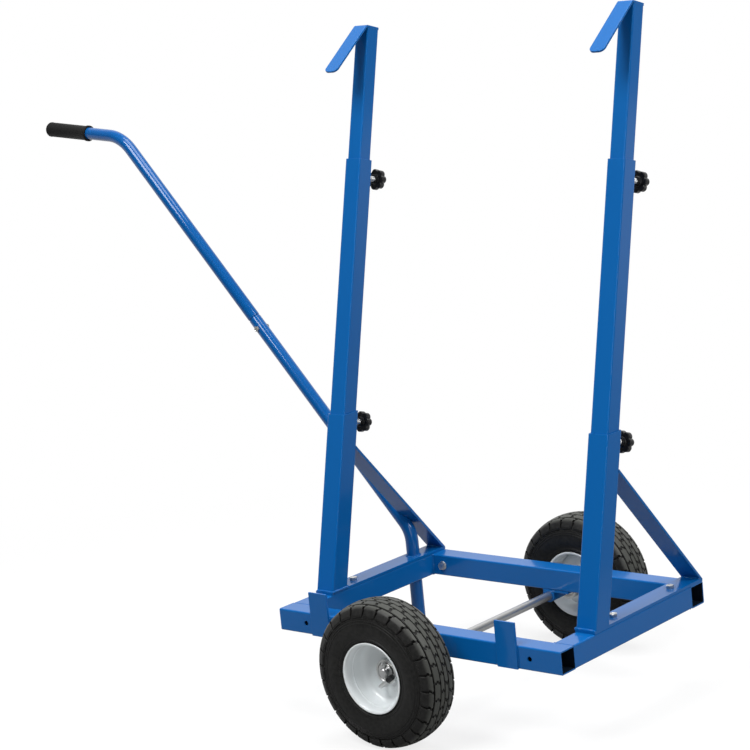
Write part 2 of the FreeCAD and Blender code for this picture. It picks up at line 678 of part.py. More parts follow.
# Axle: one bar under the rails in two clips with a bolt each, with spacers, washers and split pins.
def bracket(label, side):
    """A strap round the axle with one foot that is bolted under the rail."""
    body = new_body(label)
    end = "bracket_reach"
    ring = "axle_diameter / 2 + seat_gap + bracket_thick"
    drop = "-(bracket_thick + axle_diameter / 2)"
    strap = outline(body, "XZ_Plane", (
        (f"-({ring})", "0"), (f"-({ring})", drop, ring), ("0", f"{drop} - ({ring})", ring), (ring, drop),
        (ring, "-bracket_thick"), (end, "-bracket_thick"), (end, "0"),
    ), ("ring", "axle_diameter + 2 * seat_gap", "0", drop))
    add(body, "Pad", strap, Length="rail_side")
    middle = f"({side}) * (frame_depth - rail_side) / 2"
    place(body, "axle_place", f"{middle} + rail_side / 2", "rail_bottom")
    hole = rod(f"{label}_hole", "bolt_hole", "bracket_thick + 2")
    x = "axle_place + bracket_screw"
    place(hole, x, middle, "rail_bottom - bracket_thick - 1")
    screw = bolt("bracket_bolt", "bolt_flats", "bolt_head", "bolt_diameter", "bracket_thick + rail_wall + 8")
    bracket_bolts.append(place(screw, x, middle, "rail_bottom - bracket_thick", (1, 0, 0), "180"))
    return node(cut(label, body, hole), label)


bracket_bolts = []
bracket("near_axle_bracket", -1)
bracket("far_axle_bracket", 1)
node(group("bracket_bolts", bracket_bolts), "bracket_bolts")

bar = rod("axle_bar", "axle_diameter", "2 * (wheel_offset + axle_end)")
place(bar, "axle_place", "-(wheel_offset + axle_end)", "axle_height", (-1, 0, 0))
pin_holes = []
pins = []
spacers = []
washers = []
for side in (-1, 1):
    hole = rod("pin_hole", "pin_diameter + 2 * seat_gap", "axle_diameter + 2")
    y = f"({side}) * (wheel_offset + pin_side)"
    pin_holes.append(place(hole, "axle_place", y, "axle_height - axle_diameter / 2 - 1"))

    eye = doc.addObject("Part::Torus", "pin_eye")
    bind(eye, "Radius1", "pin_diameter * 0.75")
    bind(eye, "Radius2", "pin_diameter * 0.45")
    place(eye, "0", "0", "pin_length / 2 + pin_diameter", (1, 0, 0))
    stem = rod("pin_stem", "pin_diameter", "pin_length")
    bind(stem, "Placement.Base.z", "-pin_length / 2")
    pins.append(place(fuse("split_pin", stem, eye), "axle_place", y, "axle_height"))

    ring_bore = rod("spacer_bore", "axle_diameter + 2 * seat_gap", "frame_depth")
    spacer = cut("spacer", rod("spacer_tube", "spacer_diameter", "spacer_length"), ring_bore)
    spacers.append(on_wheel(spacer, side, "frame_depth / 2 - wheel_offset"))
    ring_bore = rod("washer_bore", "axle_diameter + 2 * seat_gap", "washer_thick")
    washer = cut("washer", rod("washer_disc", "washer_diameter", "washer_thick"), ring_bore)
    washers.append(on_wheel(washer, side, "washer_side"))
node(cut("axle", bar, *pin_holes), "axle")
node(group("axle_spacers", spacers), "axle_spacers")
node(group("axle_washers", washers), "axle_washers")
node(group("split_pins", pins), "split_pins")


# Wheels: air tyre with a block tread, pressed rim with a deep dish, hub tube and two bearings.
def crown(side):
    """Radius of the tread at a distance from the middle of the tyre."""
    return f"(tyre_radius - crown_radius + sqrt(crown_radius * crown_radius - ({side}) * ({side})))"


def tyre(label, side):
    bead = "(seat_diameter / 2 + seat_gap)"
    bead_round = "(lip_radius - rim_wall - seat_gap)"
    bead_side = "(rim_width / 2 - rim_wall - seat_gap)"
    wall_foot = "(flange_diameter / 2 + 1)"
    shoulder = "(tyre_radius - crown_drop - 8)"
    bulge = f"(tyre_width / 2 - {bead_side})"
    half = f"(({shoulder} - {wall_foot}) / 2)"
    wall_round = f"(({half} * {half} + {bulge} * {bulge}) / 2 / {bulge})"
    inner_side = f"({bead_side} - tyre_wall)"
    outer_edge = "(groove_offset + groove_width / 2)"
    inner_edge = "(groove_offset - groove_width / 2)"
    tread_edge = "(tyre_radius - crown_drop)"
    roof = "(tyre_radius - tread_depth - 6)"
    up_side = [
        (bead, "lip_side - tyre_wall"), (bead, "lip_side", f"-{bead_round}"),
        ("lip_middle", bead_side), (wall_foot, bead_side, f"-{wall_round}"),
        (shoulder, bead_side), (tread_edge, "tread_half", "-crown_radius"),
        (crown(outer_edge), outer_edge), (f"{crown(outer_edge)} - tread_depth", outer_edge),
        (f"{crown(inner_edge)} - tread_depth", inner_edge), (crown(inner_edge), inner_edge, "-crown_radius"),
    ]
    down_side = [
        (crown(inner_edge), f"-{inner_edge}"), (f"{crown(inner_edge)} - tread_depth", f"-{inner_edge}"),
        (f"{crown(outer_edge)} - tread_depth", f"-{outer_edge}"),
        (crown(outer_edge), f"-{outer_edge}", "-crown_radius"), (tread_edge, "-tread_half"),
        (shoulder, f"-{bead_side}", f"-{wall_round}"), (wall_foot, f"-{bead_side}"),
        ("lip_middle", f"-{bead_side}", f"-{bead_round}"), (bead, "-lip_side"), (bead, "tyre_wall - lip_side"),
    ]
    inside = [
        (wall_foot, f"-{inner_side}", wall_round), (f"{shoulder} - tyre_wall", f"-{inner_side}"),
        (roof, "-tread_half / 2"), (roof, "tread_half / 2"),
        (f"{shoulder} - tyre_wall", inner_side, wall_round), (wall_foot, inner_side),
    ]
    body = turned(label, *up_side, *down_side, *inside)
    over = "tyre_radius + 3"
    beyond = "tyre_width / 2 + 2"
    for row, turn in ((1, 0), (-1, 0), (0, 1)):
        if row:
            slot = ((f"{crown(outer_edge)} - tread_depth", f"{row} * groove_offset"),
                    (f"{tread_edge} - tread_depth", f"{row} * tread_half"),
                    (f"{shoulder} - 1", f"{row} * ({beyond})"),
                    (over, f"{row} * ({beyond})"), (over, f"{row} * groove_offset"))
        else:
            slot = ((f"{crown(inner_edge)} - tread_depth", "-groove_offset"), (over, "-groove_offset"),
                    (over, "groove_offset"), (f"{crown(inner_edge)} - tread_depth", "groove_offset"))
        sketch = outline(body, "XZ_Plane", slot)
        sketch.AttachmentOffset = Placement(Vector(0, 0, 0), Rotation(Vector(0, 1, 0), 90))
        bind(sketch, "AttachmentOffset.Rotation.Angle", f"{turn} * 180 / tread_blocks")
        groove = add(body, "Pocket", sketch, Length="groove_width")
        groove.SideType = "Symmetric"
        around(body, groove, "tread_blocks")
    return node(on_wheel(body, side), label)


def rim(label, side):
    hub_seat = "(hub_diameter / 2 + seat_gap)"
    inner_lip = "(lip_radius - rim_wall)"
    back_round = "(bowl_radius + rim_wall)"
    edge = "flange_diameter / 2"
    out = "rim_width / 2"
    inset = "(rim_width / 2 - rim_wall)"
    join = f"bowl_side - sqrt({back_round} * {back_round} - bowl_radius * bowl_radius)"
    body = turned(
        label, (hub_seat, "-bowl_floor"), ("bowl_middle", "-bowl_floor", "bowl_radius"),
        ("barrel_radius", "bowl_side"), ("barrel_radius", "lip_side", "-lip_radius"),
        ("lip_middle", out), (edge, out), (edge, inset), ("lip_middle", inset, inner_lip),
        ("seat_diameter / 2", "lip_side"), ("seat_diameter / 2", "-lip_side", inner_lip),
        ("lip_middle", f"-{inset}"), (edge, f"-{inset}"), (edge, f"-{out}"),
        ("lip_middle", f"-{out}", "-lip_radius"), ("barrel_radius", "-lip_side"),
        ("barrel_radius", join, f"-{back_round}"), ("bowl_middle", "-bowl_floor - rim_wall"),
        (hub_seat, "-bowl_floor - rim_wall"),
    )
    hole = outline(body, "XY_Plane", ("ring", "valve_diameter + 2 * seat_gap", "-valve_left", "-valve_down"))
    add(body, "Pocket", hole, Length="bowl_floor + 2 * rim_wall")
    return node(on_wheel(body, side), label)


def bearing(label):
    """Two races with a sunk shield between them, from z = 0 up."""
    inner = "(axle_diameter / 2 + turn_gap)"
    race = "(axle_diameter / 2 + 3)"
    ball = "(bearing_diameter / 2 - 3)"
    outer = "bearing_diameter / 2"
    return turned(
        label, (inner, "0"), (race, "0"), (race, "0.8"), (ball, "0.8"), (ball, "0"), (outer, "0"),
        (outer, "bearing_width"), (ball, "bearing_width"), (ball, "bearing_width - 0.8"),
        (race, "bearing_width - 0.8"), (race, "bearing_width"), (inner, "bearing_width"),
    )


def valve(label, cap_label, side):
    """Elbow stem that stands on the dish, with a faceted cap on its end."""
    foot = "(bowl_floor + valve_rise)"
    stem = rod(f"{label}_stem", "valve_diameter", f"{foot} + 2 * rim_wall")
    place(stem, "-valve_left", "-valve_down", "-bowl_floor - 2 * rim_wall")
    ring = rod(f"{label}_ring", "valve_ring", "rim_wall")
    place(ring, "-valve_left", "-valve_down", "-bowl_floor")
    elbow = doc.addObject("Part::Sphere", f"{label}_elbow")
    bind(elbow, "Radius", "valve_diameter / 2")
    place(elbow, "-valve_left", "-valve_down", "valve_rise")
    bent = rod(f"{label}_bent", "valve_diameter", "valve_run")
    cap = prism(f"{cap_label}_facets", "cap_diameter", "cap_length", 12)
    for piece, run in ((bent, "0"), (cap, "valve_run")):
        piece.Placement = Placement(Vector(0, 0, 0), Rotation(0, 90, 0))
        bind(piece, "Placement.Rotation.Yaw", "valve_turn")
        bind(piece, "Placement.Base.x", f"{run} * cos(valve_turn) - valve_left")
        bind(piece, "Placement.Base.y", f"{run} * sin(valve_turn) - valve_down")
        bind(piece, "Placement.Base.z", "valve_rise")
    node(on_wheel(fuse(label, stem, ring, elbow, bent), side), label)
    return node(on_wheel(group(cap_label, [cap]), side), cap_label)


for hand, side in (("near", -1), ("far", 1)):
    tyre(f"{hand}_tyre", side)
    rim(f"{hand}_rim", side)
    seat = "(bearing_diameter / 2 + turn_gap)"
    step = "(bearing_inset + bearing_width)"
    hub = turned(
        f"{hand}_hub", (seat, "0"), ("hub_diameter / 2", "0"), ("hub_diameter / 2", "-hub_length"),
        (seat, "-hub_length"), (seat, f"{step} - hub_length"), ("hub_diameter / 2 - hub_wall", f"{step} - hub_length"),
        ("hub_diameter / 2 - hub_wall", f"-{step}"), (seat, f"-{step}"),
    )
    node(on_wheel(hub, side), f"{hand}_hub")
    pair = [on_wheel(bearing(f"{hand}_bearing"), side, start)
            for start in (f"-{step}", "bearing_inset - hub_length")]
    node(group(f"{hand}_bearings", pair), f"{hand}_bearings")
    valve(f"{hand}_valve_stem", f"{hand}_valve_cap", side)


doc.recompute()
for obj in doc.Objects:
    if {"Invalid", "Error"} & set(obj.State):
        raise RuntimeError(f"{obj.Label}: {obj.State}")
os.makedirs("parts", exist_ok=True)
for obj in NODES:
    if obj.Shape.isNull() or not obj.Shape.isValid() or not obj.Shape.Solids:
        raise RuntimeError(f"{obj.Label}: no valid solid")
    obj.Shape.exportStep(f"parts/{obj.Label}.step")
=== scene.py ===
import json
from math import cos, pi, radians, sin, sqrt, tan

import bmesh
import bpy
from mathutils import Matrix, Vector

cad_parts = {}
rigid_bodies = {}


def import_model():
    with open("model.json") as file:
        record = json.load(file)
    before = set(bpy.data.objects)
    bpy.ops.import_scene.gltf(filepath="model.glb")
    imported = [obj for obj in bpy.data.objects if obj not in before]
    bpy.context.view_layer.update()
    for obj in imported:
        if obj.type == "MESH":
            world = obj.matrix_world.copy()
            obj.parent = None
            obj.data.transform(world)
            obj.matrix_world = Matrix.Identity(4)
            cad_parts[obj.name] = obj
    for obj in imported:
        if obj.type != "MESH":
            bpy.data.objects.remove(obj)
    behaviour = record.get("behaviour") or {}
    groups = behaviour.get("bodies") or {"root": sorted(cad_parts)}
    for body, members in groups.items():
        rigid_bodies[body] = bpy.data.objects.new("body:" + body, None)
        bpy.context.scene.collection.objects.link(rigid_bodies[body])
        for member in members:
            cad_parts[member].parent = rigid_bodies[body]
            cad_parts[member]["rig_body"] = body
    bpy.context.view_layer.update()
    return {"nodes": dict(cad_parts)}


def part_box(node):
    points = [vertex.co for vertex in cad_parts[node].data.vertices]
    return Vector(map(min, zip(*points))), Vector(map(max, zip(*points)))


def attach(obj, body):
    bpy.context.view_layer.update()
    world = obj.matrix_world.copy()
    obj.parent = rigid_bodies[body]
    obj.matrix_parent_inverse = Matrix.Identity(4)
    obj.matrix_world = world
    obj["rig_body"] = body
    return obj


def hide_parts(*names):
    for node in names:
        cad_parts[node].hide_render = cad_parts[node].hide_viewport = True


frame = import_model()


# Base frame: two long square tubes with open ends, two cross tubes between them, flat bars
# on the cross tubes and two upright stops. Sawn mild steel, welded up and then powder coated
# in gloss blue as one piece, so that the coat rounds every cut edge a little.
MM = 0.001
CREASE = radians(24)
COAT_EDGE = 0.7 * MM


def add_node(tree, kind, operation=None):
    """A shader node, set to one operation where it has several."""
    node = tree.nodes.new(f"ShaderNode{kind}")
    if operation:
        node.operation = operation
    return node


def colour_mix(tree):
    """A node that mixes two colours, with its two inputs and its output."""
    node = add_node(tree, "Mix")
    node.data_type = "RGBA"
    first, second = [socket for socket in node.inputs if socket.type == "RGBA"]
    mixed = [socket for socket in node.outputs if socket.type == "RGBA"][0]
    return node, first, second, mixed


def connect(tree, *pairs):
    """Link each pair of an output and an input."""
    for start, end in pairs:
        tree.links.new(start, end)


def grain_group():
    """Shader group: two colours that drift into each other, a drifting gloss, a fine height."""
    group = bpy.data.node_groups.new("surface_grain", "ShaderNodeTree")
    for way, kind, names in (
        ("INPUT", "NodeSocketColor", ("Colour", "Drift Colour")),
        ("INPUT", "NodeSocketVector", ("Stretch",)),
        ("INPUT", "NodeSocketFloat", ("Drift Scale", "Grain Scale", "Roughness", "Roughness Drift")),
        ("OUTPUT", "NodeSocketColor", ("Colour",)),
        ("OUTPUT", "NodeSocketFloat", ("Roughness", "Height")),
    ):
        for name in names:
            group.interface.new_socket(name=name, socket_type=kind, in_out=way)
    given = group.nodes.new("NodeGroupInput")
    result = group.nodes.new("NodeGroupOutput")
    place = add_node(group, "TexCoord")
    stretched = add_node(group, "VectorMath", "MULTIPLY")
    drift = add_node(group, "TexNoise")
    drift.inputs["Detail"].default_value = 3
    grain = add_node(group, "TexNoise")
    grain.inputs["Detail"].default_value = 2
    blend, first, second, mixed = colour_mix(group)
    gloss = add_node(group, "Math", "MULTIPLY_ADD")
    connect(
        group,
        (place.outputs["Object"], stretched.inputs[0]),
        (given.outputs["Stretch"], stretched.inputs[1]),
        (stretched.outputs["Vector"], drift.inputs["Vector"]),
        (stretched.outputs["Vector"], grain.inputs["Vector"]),
        (given.outputs["Drift Scale"], drift.inputs["Scale"]),
        (given.outputs["Grain Scale"], grain.inputs["Scale"]),
        (drift.outputs["Fac"], blend.inputs["Factor"]),
        (given.outputs["Colour"], first),
        (given.outputs["Drift Colour"], second),
        (drift.outputs["Fac"], gloss.inputs[0]),
        (given.outputs["Roughness Drift"], gloss.inputs[1]),
        (given.outputs["Roughness"], gloss.inputs[2]),
        (mixed, result.inputs["Colour"]),
        (gloss.outputs["Value"], result.inputs["Roughness"]),
        (grain.outputs["Fac"], result.inputs["Height"]),
    )
    return group


SURFACE_GRAIN = grain_group()


def grained(name, relief, grain, plain):
    """A material fed by the grain group; values that are the same all over sit on the shader."""
    material = bpy.data.materials.new(name)
    material.use_nodes = True
    tree = material.node_tree
    shader = tree.nodes["Principled BSDF"]
    skin = add_node(tree, "Group")
    skin.node_tree = SURFACE_GRAIN
    skin.inputs["Stretch"].default_value = (1, 1, 1)
    for socket, value in grain.items():
        skin.inputs[socket].default_value = value
    bump = add_node(tree, "Bump")
    bump.inputs["Distance"].default_value = relief
    connect(
        tree,
        (skin.outputs["Colour"], shader.inputs["Base Color"]),
        (skin.outputs["Roughness"], shader.inputs["Roughness"]),
        (skin.outputs["Height"], bump.inputs["Height"]),
        (bump.outputs["Normal"], shader.inputs["Normal"]),
    )
    for socket, value in plain.items():
        shader.inputs[socket].default_value = value
    return material


blue_paint = grained(
    "blue_powder_coat",
    0.003 * MM,
    {
        "Colour": (0.0015, 0.102, 0.350, 1),
        "Drift Colour": (0.002, 0.114, 0.380, 1),
        "Drift Scale": 5,
        "Grain Scale": 300,
        "Roughness": 0.30,
        "Roughness Drift": 0.12,
    },
    {"Specular IOR Level": 0.08, "Coat Weight": 0.5, "Coat Roughness": 0.1},
)


def new_piece(bm, name, material, slot, body, *nodes, crease=CREASE):
    """Turn a finished mesh into a piece that rides on a body and stands for CAD nodes."""
    bmesh.ops.recalc_face_normals(bm, faces=bm.faces)
    for face in bm.faces:
        face.smooth = True
    for edge in bm.edges:
        edge.smooth = edge.calc_face_angle(0) < crease
    mesh = bpy.data.meshes.new(name)
    bm.to_mesh(mesh)
    bm.free()
    mesh.materials.append(material)
    piece = bpy.data.objects.new(name, mesh)
    bpy.context.scene.collection.objects.link(piece)
    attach(piece, body)
    if nodes:
        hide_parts(*nodes)
    return piece


def coated_steel(node):
    """The sawn steel of a CAD node with its cut edges rounded by the coat."""
    solid = frame["nodes"][node]
    bm = bmesh.new()
    bm.from_mesh(solid.data)
    bmesh.ops.remove_doubles(bm, verts=bm.verts, dist=0.001 * MM)
    bmesh.ops.dissolve_limit(bm, angle_limit=radians(0.5), verts=bm.verts, edges=bm.edges)
    name = f"{node}_coated"
    piece = new_piece(bm, name, blue_paint, "blue_paint", solid["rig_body"], node, crease=pi)
    rounded = piece.modifiers.new("rounded edges", "BEVEL")
    rounded.width = COAT_EDGE
    rounded.segments = 2
    rounded.limit_method = "ANGLE"
    rounded.angle_limit = radians(40)
    even = piece.modifiers.new("even shading", "WEIGHTED_NORMAL")
    even.keep_sharp = True
    return piece


# Near-black blue for the inside of the open tubes: a thin mist of the coat, darkened further as painted
# shade for the bore.
bore_coat_and_shade = grained(
    "tube_bore_coat_and_shade",
    0.02 * MM,
    {
        "Colour": (0.002, 0.009, 0.024, 1),
        "Drift Colour": (0.006, 0.011, 0.018, 1),
        "Drift Scale": 30,
        "Grain Scale": 600,
        "Roughness": 0.6,
        "Roughness Drift": 0.2,
    },
    {"Specular IOR Level": 0.1},
)


def open_tube(node, along):
    """A coated tube whose bore faces take a near-black blue: the thin coat there, darkened further as
    painted shade.
    """
    tube = coated_steel(node)
    tube.data.materials.append(bore_coat_and_shade)
    low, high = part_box(node)
    for face in tube.data.polygons:
        out = face.center - (low + high) / 2
        out -= along * out.dot(along)
        if face.normal.dot(out) < -0.3 * out.length:
            face.material_index = 1


HANDS = ("left", "right")
ALONG_X = Vector((1, 0, 0))
for rail in ("near_rail", "far_rail"):
    open_tube(rail, ALONG_X)
for hand in HANDS:
    coated_steel(f"{hand}_cross_rail")
    coated_steel(f"{hand}_base_plate")
    coated_steel(f"{hand}_stop")


# Leaning posts: an outer sleeve stands on each base bar with a flat-bar brace behind it, and a
# middle and a top tube slide out of it. A folded strip is welded over each top end as a hook.
# Square steel tube in the same blue coat.
for hand in HANDS:
    for part in ("lower_post", "middle_post", "top_post", "hook", "brace"):
        coated_steel(f"{hand}_{part}")


# Weld runs: the seams where posts, braces, stops, tubes and hooks meet. Short rippled runs of
# weld metal, laid by hand and coated over together with the steel.
LEAN = radians(14)
UP_POST = Vector((0, sin(LEAN), cos(LEAN)))
OUT_OF_POST = Vector((0, cos(LEAN), -sin(LEAN)))
ALONG_Y = Vector((0, 1, 0))
ALONG_Z = Vector((0, 0, 1))
PUDDLE = 3.2 * MM
SLEEVE = 40 * MM
MIDDLE_TUBE = 35 * MM
LOWER_SCREW = 16 * MM
UPPER_SCREW = 31 * MM
NUT_WELD = 9.4 * MM
LEG_WELD = 13.2 * MM
HOOK_SEAM = 14.4 * MM
POST_STEPS = {"left": (464, 240), "right": (452, 258)}


def middle(node):
    """The middle of a CAD node's box."""
    low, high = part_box(node)
    return (low + high) / 2


def loft(bm, rings, closed=False):
    """Skin a row of equal rings; the two ends are capped, or joined to each other."""
    rows = [[bm.verts.new(spot) for spot in ring] for ring in rings]
    pairs = list(zip(rows, rows[1:]))
    if closed:
        pairs.append((rows[-1], rows[0]))
    else:
        bm.faces.new(rows[0])
        bm.faces.new(rows[-1])
    for low, high in pairs:
        for k in range(len(low)):
            after = (k + 1) % len(low)
            bm.faces.new((low[k], low[after], high[after], high[k]))


def weld_run(bm, corners, size, facing, closed=False):
    """A round ridge along the corners that swells at every puddle."""
    stops = corners + corners[:1] if closed else corners
    line = []
    for start, end in zip(stops, stops[1:]):
        count = max(2, round((end - start).length / PUDDLE * 4))
        line += [start.lerp(end, k / count) for k in range(count)]
    if not closed:
        line.append(stops[-1])
    rings = []
    last = len(line) - 1
    for k, spot in enumerate(line):
        ahead = line[(k + 1) % len(line)] if closed or k < last else spot
        behind = line[k - 1] if closed or k > 0 else spot
        side = (ahead - behind).cross(facing).normalized()
        swell = size * (0.86 + 0.14 * cos(k * pi / 2 + 0.8 * sin(k * 1.7)))
        if not closed and k in (0, last):
            swell *= 0.5
        turns = [2 * pi * step / 10 for step in range(10)]
        rings.append([spot + (side * cos(turn) + facing * sin(turn)) * swell for turn in turns])
    loft(bm, rings, closed)


def circle(centre, across, along, radius, steps):
    """Points of a circle in the plane of two unit vectors."""
    turns = [2 * pi * k / steps for k in range(steps)]
    return [centre + (across * cos(turn) + along * sin(turn)) * radius for turn in turns]


def post_foot(hand):
    """Where the axis of a post meets its base bar."""
    low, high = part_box(f"{hand}_lower_post")
    return Vector(((low.x + high.x) / 2, low.y + SLEEVE / 2 / cos(LEAN), low.z))


def up_post(hand, rise):
    """A spot on the axis of a post, so far above the upper end of its sleeve."""
    low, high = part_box("left_lower_post")
    return post_foot(hand) + UP_POST * ((high.z - low.z) / cos(LEAN) + rise)


def nut_weld(bm, seat):
    """The run round a nut on the back of a tube."""
    ring = circle(seat, ALONG_X, UP_POST, NUT_WELD, 18)
    weld_run(bm, ring, 1.3 * MM, OUT_OF_POST, closed=True)


frame_welds = bmesh.new()
rail_low, rail_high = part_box("near_rail")
inner_face = rail_high.y
for hand, inward in (("left", 1), ("right", -1)):
    foot = post_foot(hand)
    half = ALONG_X * SLEEVE / 2
    deep = ALONG_Y * SLEEVE / 2 / cos(LEAN)
    inside = foot + half * inward
    outside = foot - (half - ALONG_X * 3 * MM) * inward
    corners = [inside - deep, outside - deep, outside + deep, inside + deep]
    weld_run(frame_welds, corners, 2.8 * MM, ALONG_Z, closed=True)

    brace_low, brace_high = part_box(f"{hand}_brace")
    heel = Vector((foot.x, brace_high.y - 7 * MM, brace_low.z))
    head = Vector((foot.x, brace_low.y, brace_high.z))
    for seam in (heel, head):
        weld_run(frame_welds, [seam - half * 0.95, seam + half * 0.95], 2.4 * MM, ALONG_Y)

    for side in (-1, 1):
        corner = Vector((foot.x + inward * SLEEVE / 2, side * -inner_face, rail_low.z))
        weld_run(frame_welds, [corner, corner + ALONG_Z * SLEEVE], 2.2 * MM, ALONG_X)
        under = Vector((foot.x, side * -inner_face, rail_low.z))
        weld_run(frame_welds, [under - half * 0.9, under + half * 0.9], 1.4 * MM, ALONG_Z)
        over = Vector((foot.x, side * (0.8 * MM - inner_face), rail_high.z - 1.7 * MM))
        weld_run(frame_welds, [over - half * 0.87, over + half * 0.87], 1.9 * MM, ALONG_Z)

    stop_low, stop_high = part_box(f"{hand}_stop")
    for edge in (stop_low.x, stop_high.x):
        heel = Vector((edge, stop_high.y, stop_low.z + 3 * MM))
        weld_run(frame_welds, [heel, heel + ALONG_Z * 34 * MM], 1.6 * MM, ALONG_Y)
    behind = Vector((stop_low.x + SLEEVE / 2, stop_high.y, rail_high.z))
    weld_run(frame_welds, [behind - half * 0.8, behind + half * 0.8], 1.8 * MM, ALONG_Z)

    nut_weld(frame_welds, up_post(hand, -LOWER_SCREW) + OUT_OF_POST * SLEEVE / 2)

leg = Vector((middle("left_base_plate").x, middle("handle_grip").y, 0))
for height in (rail_low.z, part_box("left_base_plate")[1].z):
    ring = circle(leg + ALONG_Z * height, ALONG_X, ALONG_Y, LEG_WELD, 24)
    weld_run(frame_welds, ring, 2.2 * MM, ALONG_Z, closed=True)
new_piece(frame_welds, "frame_welds", blue_paint, "blue_paint", "root")

for hand in HANDS:
    middle_draw, top_draw = POST_STEPS[hand]
    top_end = up_post(hand, (middle_draw + top_draw) * MM)
    half = ALONG_X * HOOK_SEAM
    hook_welds = bmesh.new()
    back = top_end + OUT_OF_POST * HOOK_SEAM
    front = top_end - OUT_OF_POST * 9 * MM
    weld_run(hook_welds, [front - half, back - half, back + half, front + half], 0.9 * MM, UP_POST)
    new_piece(hook_welds, f"{hand}_hook_welds", blue_paint, "blue_paint", f"{hand}_top")

    nut_welds = bmesh.new()
    nut_weld(nut_welds, up_post(hand, middle_draw * MM - UPPER_SCREW) + OUT_OF_POST * MIDDLE_TUBE / 2)
    new_piece(nut_welds, f"{hand}_nut_welds", blue_paint, "blue_paint", f"{hand}_middle")


# Frame bolts: hexagon bolts through the base bars, and two across the far rail with a washer
# under the head and a nut behind. Cold headed steel with a rolled thread, bright zinc plated.
zinc = grained(
    "zinc_plate",
    0.02 * MM,
    {
        "Colour": (0.70, 0.70, 0.68, 1),
        "Drift Colour": (0.56, 0.57, 0.58, 1),
        "Drift Scale": 160,
        "Grain Scale": 1500,
        "Roughness": 0.20,
        "Roughness Drift": 0.22,
    },
    {"Metallic": 1.0},
)
FRAME_BOLT = {"flats": 13 * MM, "head": 5.5 * MM, "shank": 4 * MM, "pitch": 1.25 * MM}
WASHER = ((4.2, 0), (8.6, 0), (8.6, 0.9), (8.3, 1.2), (4.2, 1.2))
WASHER_THICK = 1.2 * MM


def hexagon(at, axis, corner, flats, height):
    """Rings of a hexagon with the turned chamfer of a bolt head, from its seat up."""
    across = axis.cross(corner)
    crown = 0.94 * flats / 2
    seat = []
    edge = []
    top = []
    for k in range(48):
        turn = 2 * pi * k / 48
        out = corner * cos(turn) + across * sin(turn)
        reach = flats / 2 / cos(turn % (pi / 3) - pi / 6)
        seat.append(at + out * reach)
        edge.append(at + out * reach + axis * (height - (reach - crown) * tan(radians(28))))
        top.append(at + out * crown + axis * height)
    return [seat, edge, top]


def bolt_head(bm, at, axis, corner, flats, height):
    """A solid head with the shallow dish that heading leaves in its top."""
    across = axis.cross(corner)
    rim = circle(at + axis * height, corner, across, 0.74 * flats / 2, 48)
    dish = circle(at + axis * (height - 0.3 * MM), corner, across, 0.66 * flats / 2, 48)
    loft(bm, hexagon(at, axis, corner, flats, height) + [rim, dish])


def nut(bm, at, axis, corner, flats, height, bore):
    """A hexagon with a countersunk bore."""
    across = axis.cross(corner)
    rings = hexagon(at, axis, corner, flats, height)
    for rise, radius in ((height, bore + 0.7 * MM), (height - 0.7 * MM, bore), (0, bore)):
        rings.append(circle(at + axis * rise, corner, across, radius, 48))
    loft(bm, rings, closed=True)


def thread(bm, at, axis, corner, radius, pitch, length, steps=24):
    """A screw thread as a round bar whose skin rises and falls along a helix."""
    across = axis.cross(corner)
    depth = 0.55 * pitch
    rings = []
    count = round(length / pitch * 6)
    for row in range(count + 1):
        rise = length * row / count
        end = min(row, count - row) / 5
        ring = []
        for k in range(steps):
            turn = 2 * pi * k / steps
            phase = (rise / pitch - k / steps) % 1
            reach = radius - depth * abs(2 * phase - 1)
            reach = min(reach, radius - depth * (1 - min(end, 1)))
            ring.append(at + axis * rise + (corner * cos(turn) + across * sin(turn)) * reach)
        rings.append(ring)
    loft(bm, rings)


def lathe(bm, at, axis, corner, profile, steps, closed=True):
    """Turn a profile of (radius, along) points in millimetres about an axis."""
    across = axis.cross(corner)
    rings = []
    for radius, along in profile:
        rings.append(circle(at + axis * (along * MM), corner, across, radius * MM, steps))
    loft(bm, rings, closed)


def frame_bolt(bm, seat, axis, corner, length):
    """One bolt of the frame: head above its seat and threaded shank below."""
    bolt_head(bm, seat, axis, corner, FRAME_BOLT["flats"], FRAME_BOLT["head"])
    start = seat + axis * 0.5 * MM
    thread(bm, start, -axis, corner, FRAME_BOLT["shank"], FRAME_BOLT["pitch"], length, 16)


plate_bolts = bmesh.new()
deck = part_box("left_base_plate")[1].z
bolt_low, bolt_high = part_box("plate_bolts")
front_row = bolt_low.y + FRAME_BOLT["flats"] / 2
rear_row = bolt_high.y - FRAME_BOLT["flats"] / 2
left_row = middle("left_base_plate").x
right_row = middle("right_base_plate").x
for x, y in ((left_row, front_row), (right_row, front_row), (right_row, rear_row)):
    frame_bolt(plate_bolts, Vector((x, y, deck)), ALONG_Z, ALONG_X, 15 * MM)
new_piece(plate_bolts, "plate_bolts_zinc", zinc, "zinc", "root", "plate_bolts")

far_bolts = bmesh.new()
far_nuts = bmesh.new()
nuts_low, nuts_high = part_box("far_rail_nuts")
far_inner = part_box("far_rail")[0].y
for x in (nuts_low.x, nuts_high.x):
    inset = FRAME_BOLT["flats"] / 2 / cos(pi / 6)
    spot = x + inset if x < middle("axle").x else x - inset
    seat = Vector((spot, far_inner, middle("far_rail").z))
    frame_bolt(far_bolts, seat - ALONG_Y * WASHER_THICK, -ALONG_Y, ALONG_X, 49 * MM)
    lathe(far_bolts, seat, -ALONG_Y, ALONG_X, WASHER, 32)
    behind = Vector((spot, nuts_low.y, seat.z))
    nut(far_nuts, behind, ALONG_Y, ALONG_X, FRAME_BOLT["flats"], FRAME_BOLT["head"], 4.1 * MM)
new_piece(far_bolts, "far_rail_bolts_zinc", zinc, "zinc", "root", "far_rail_bolts")
new_piece(far_nuts, "far_rail_nuts_zinc", zinc, "zinc", "root", "far_rail_nuts")


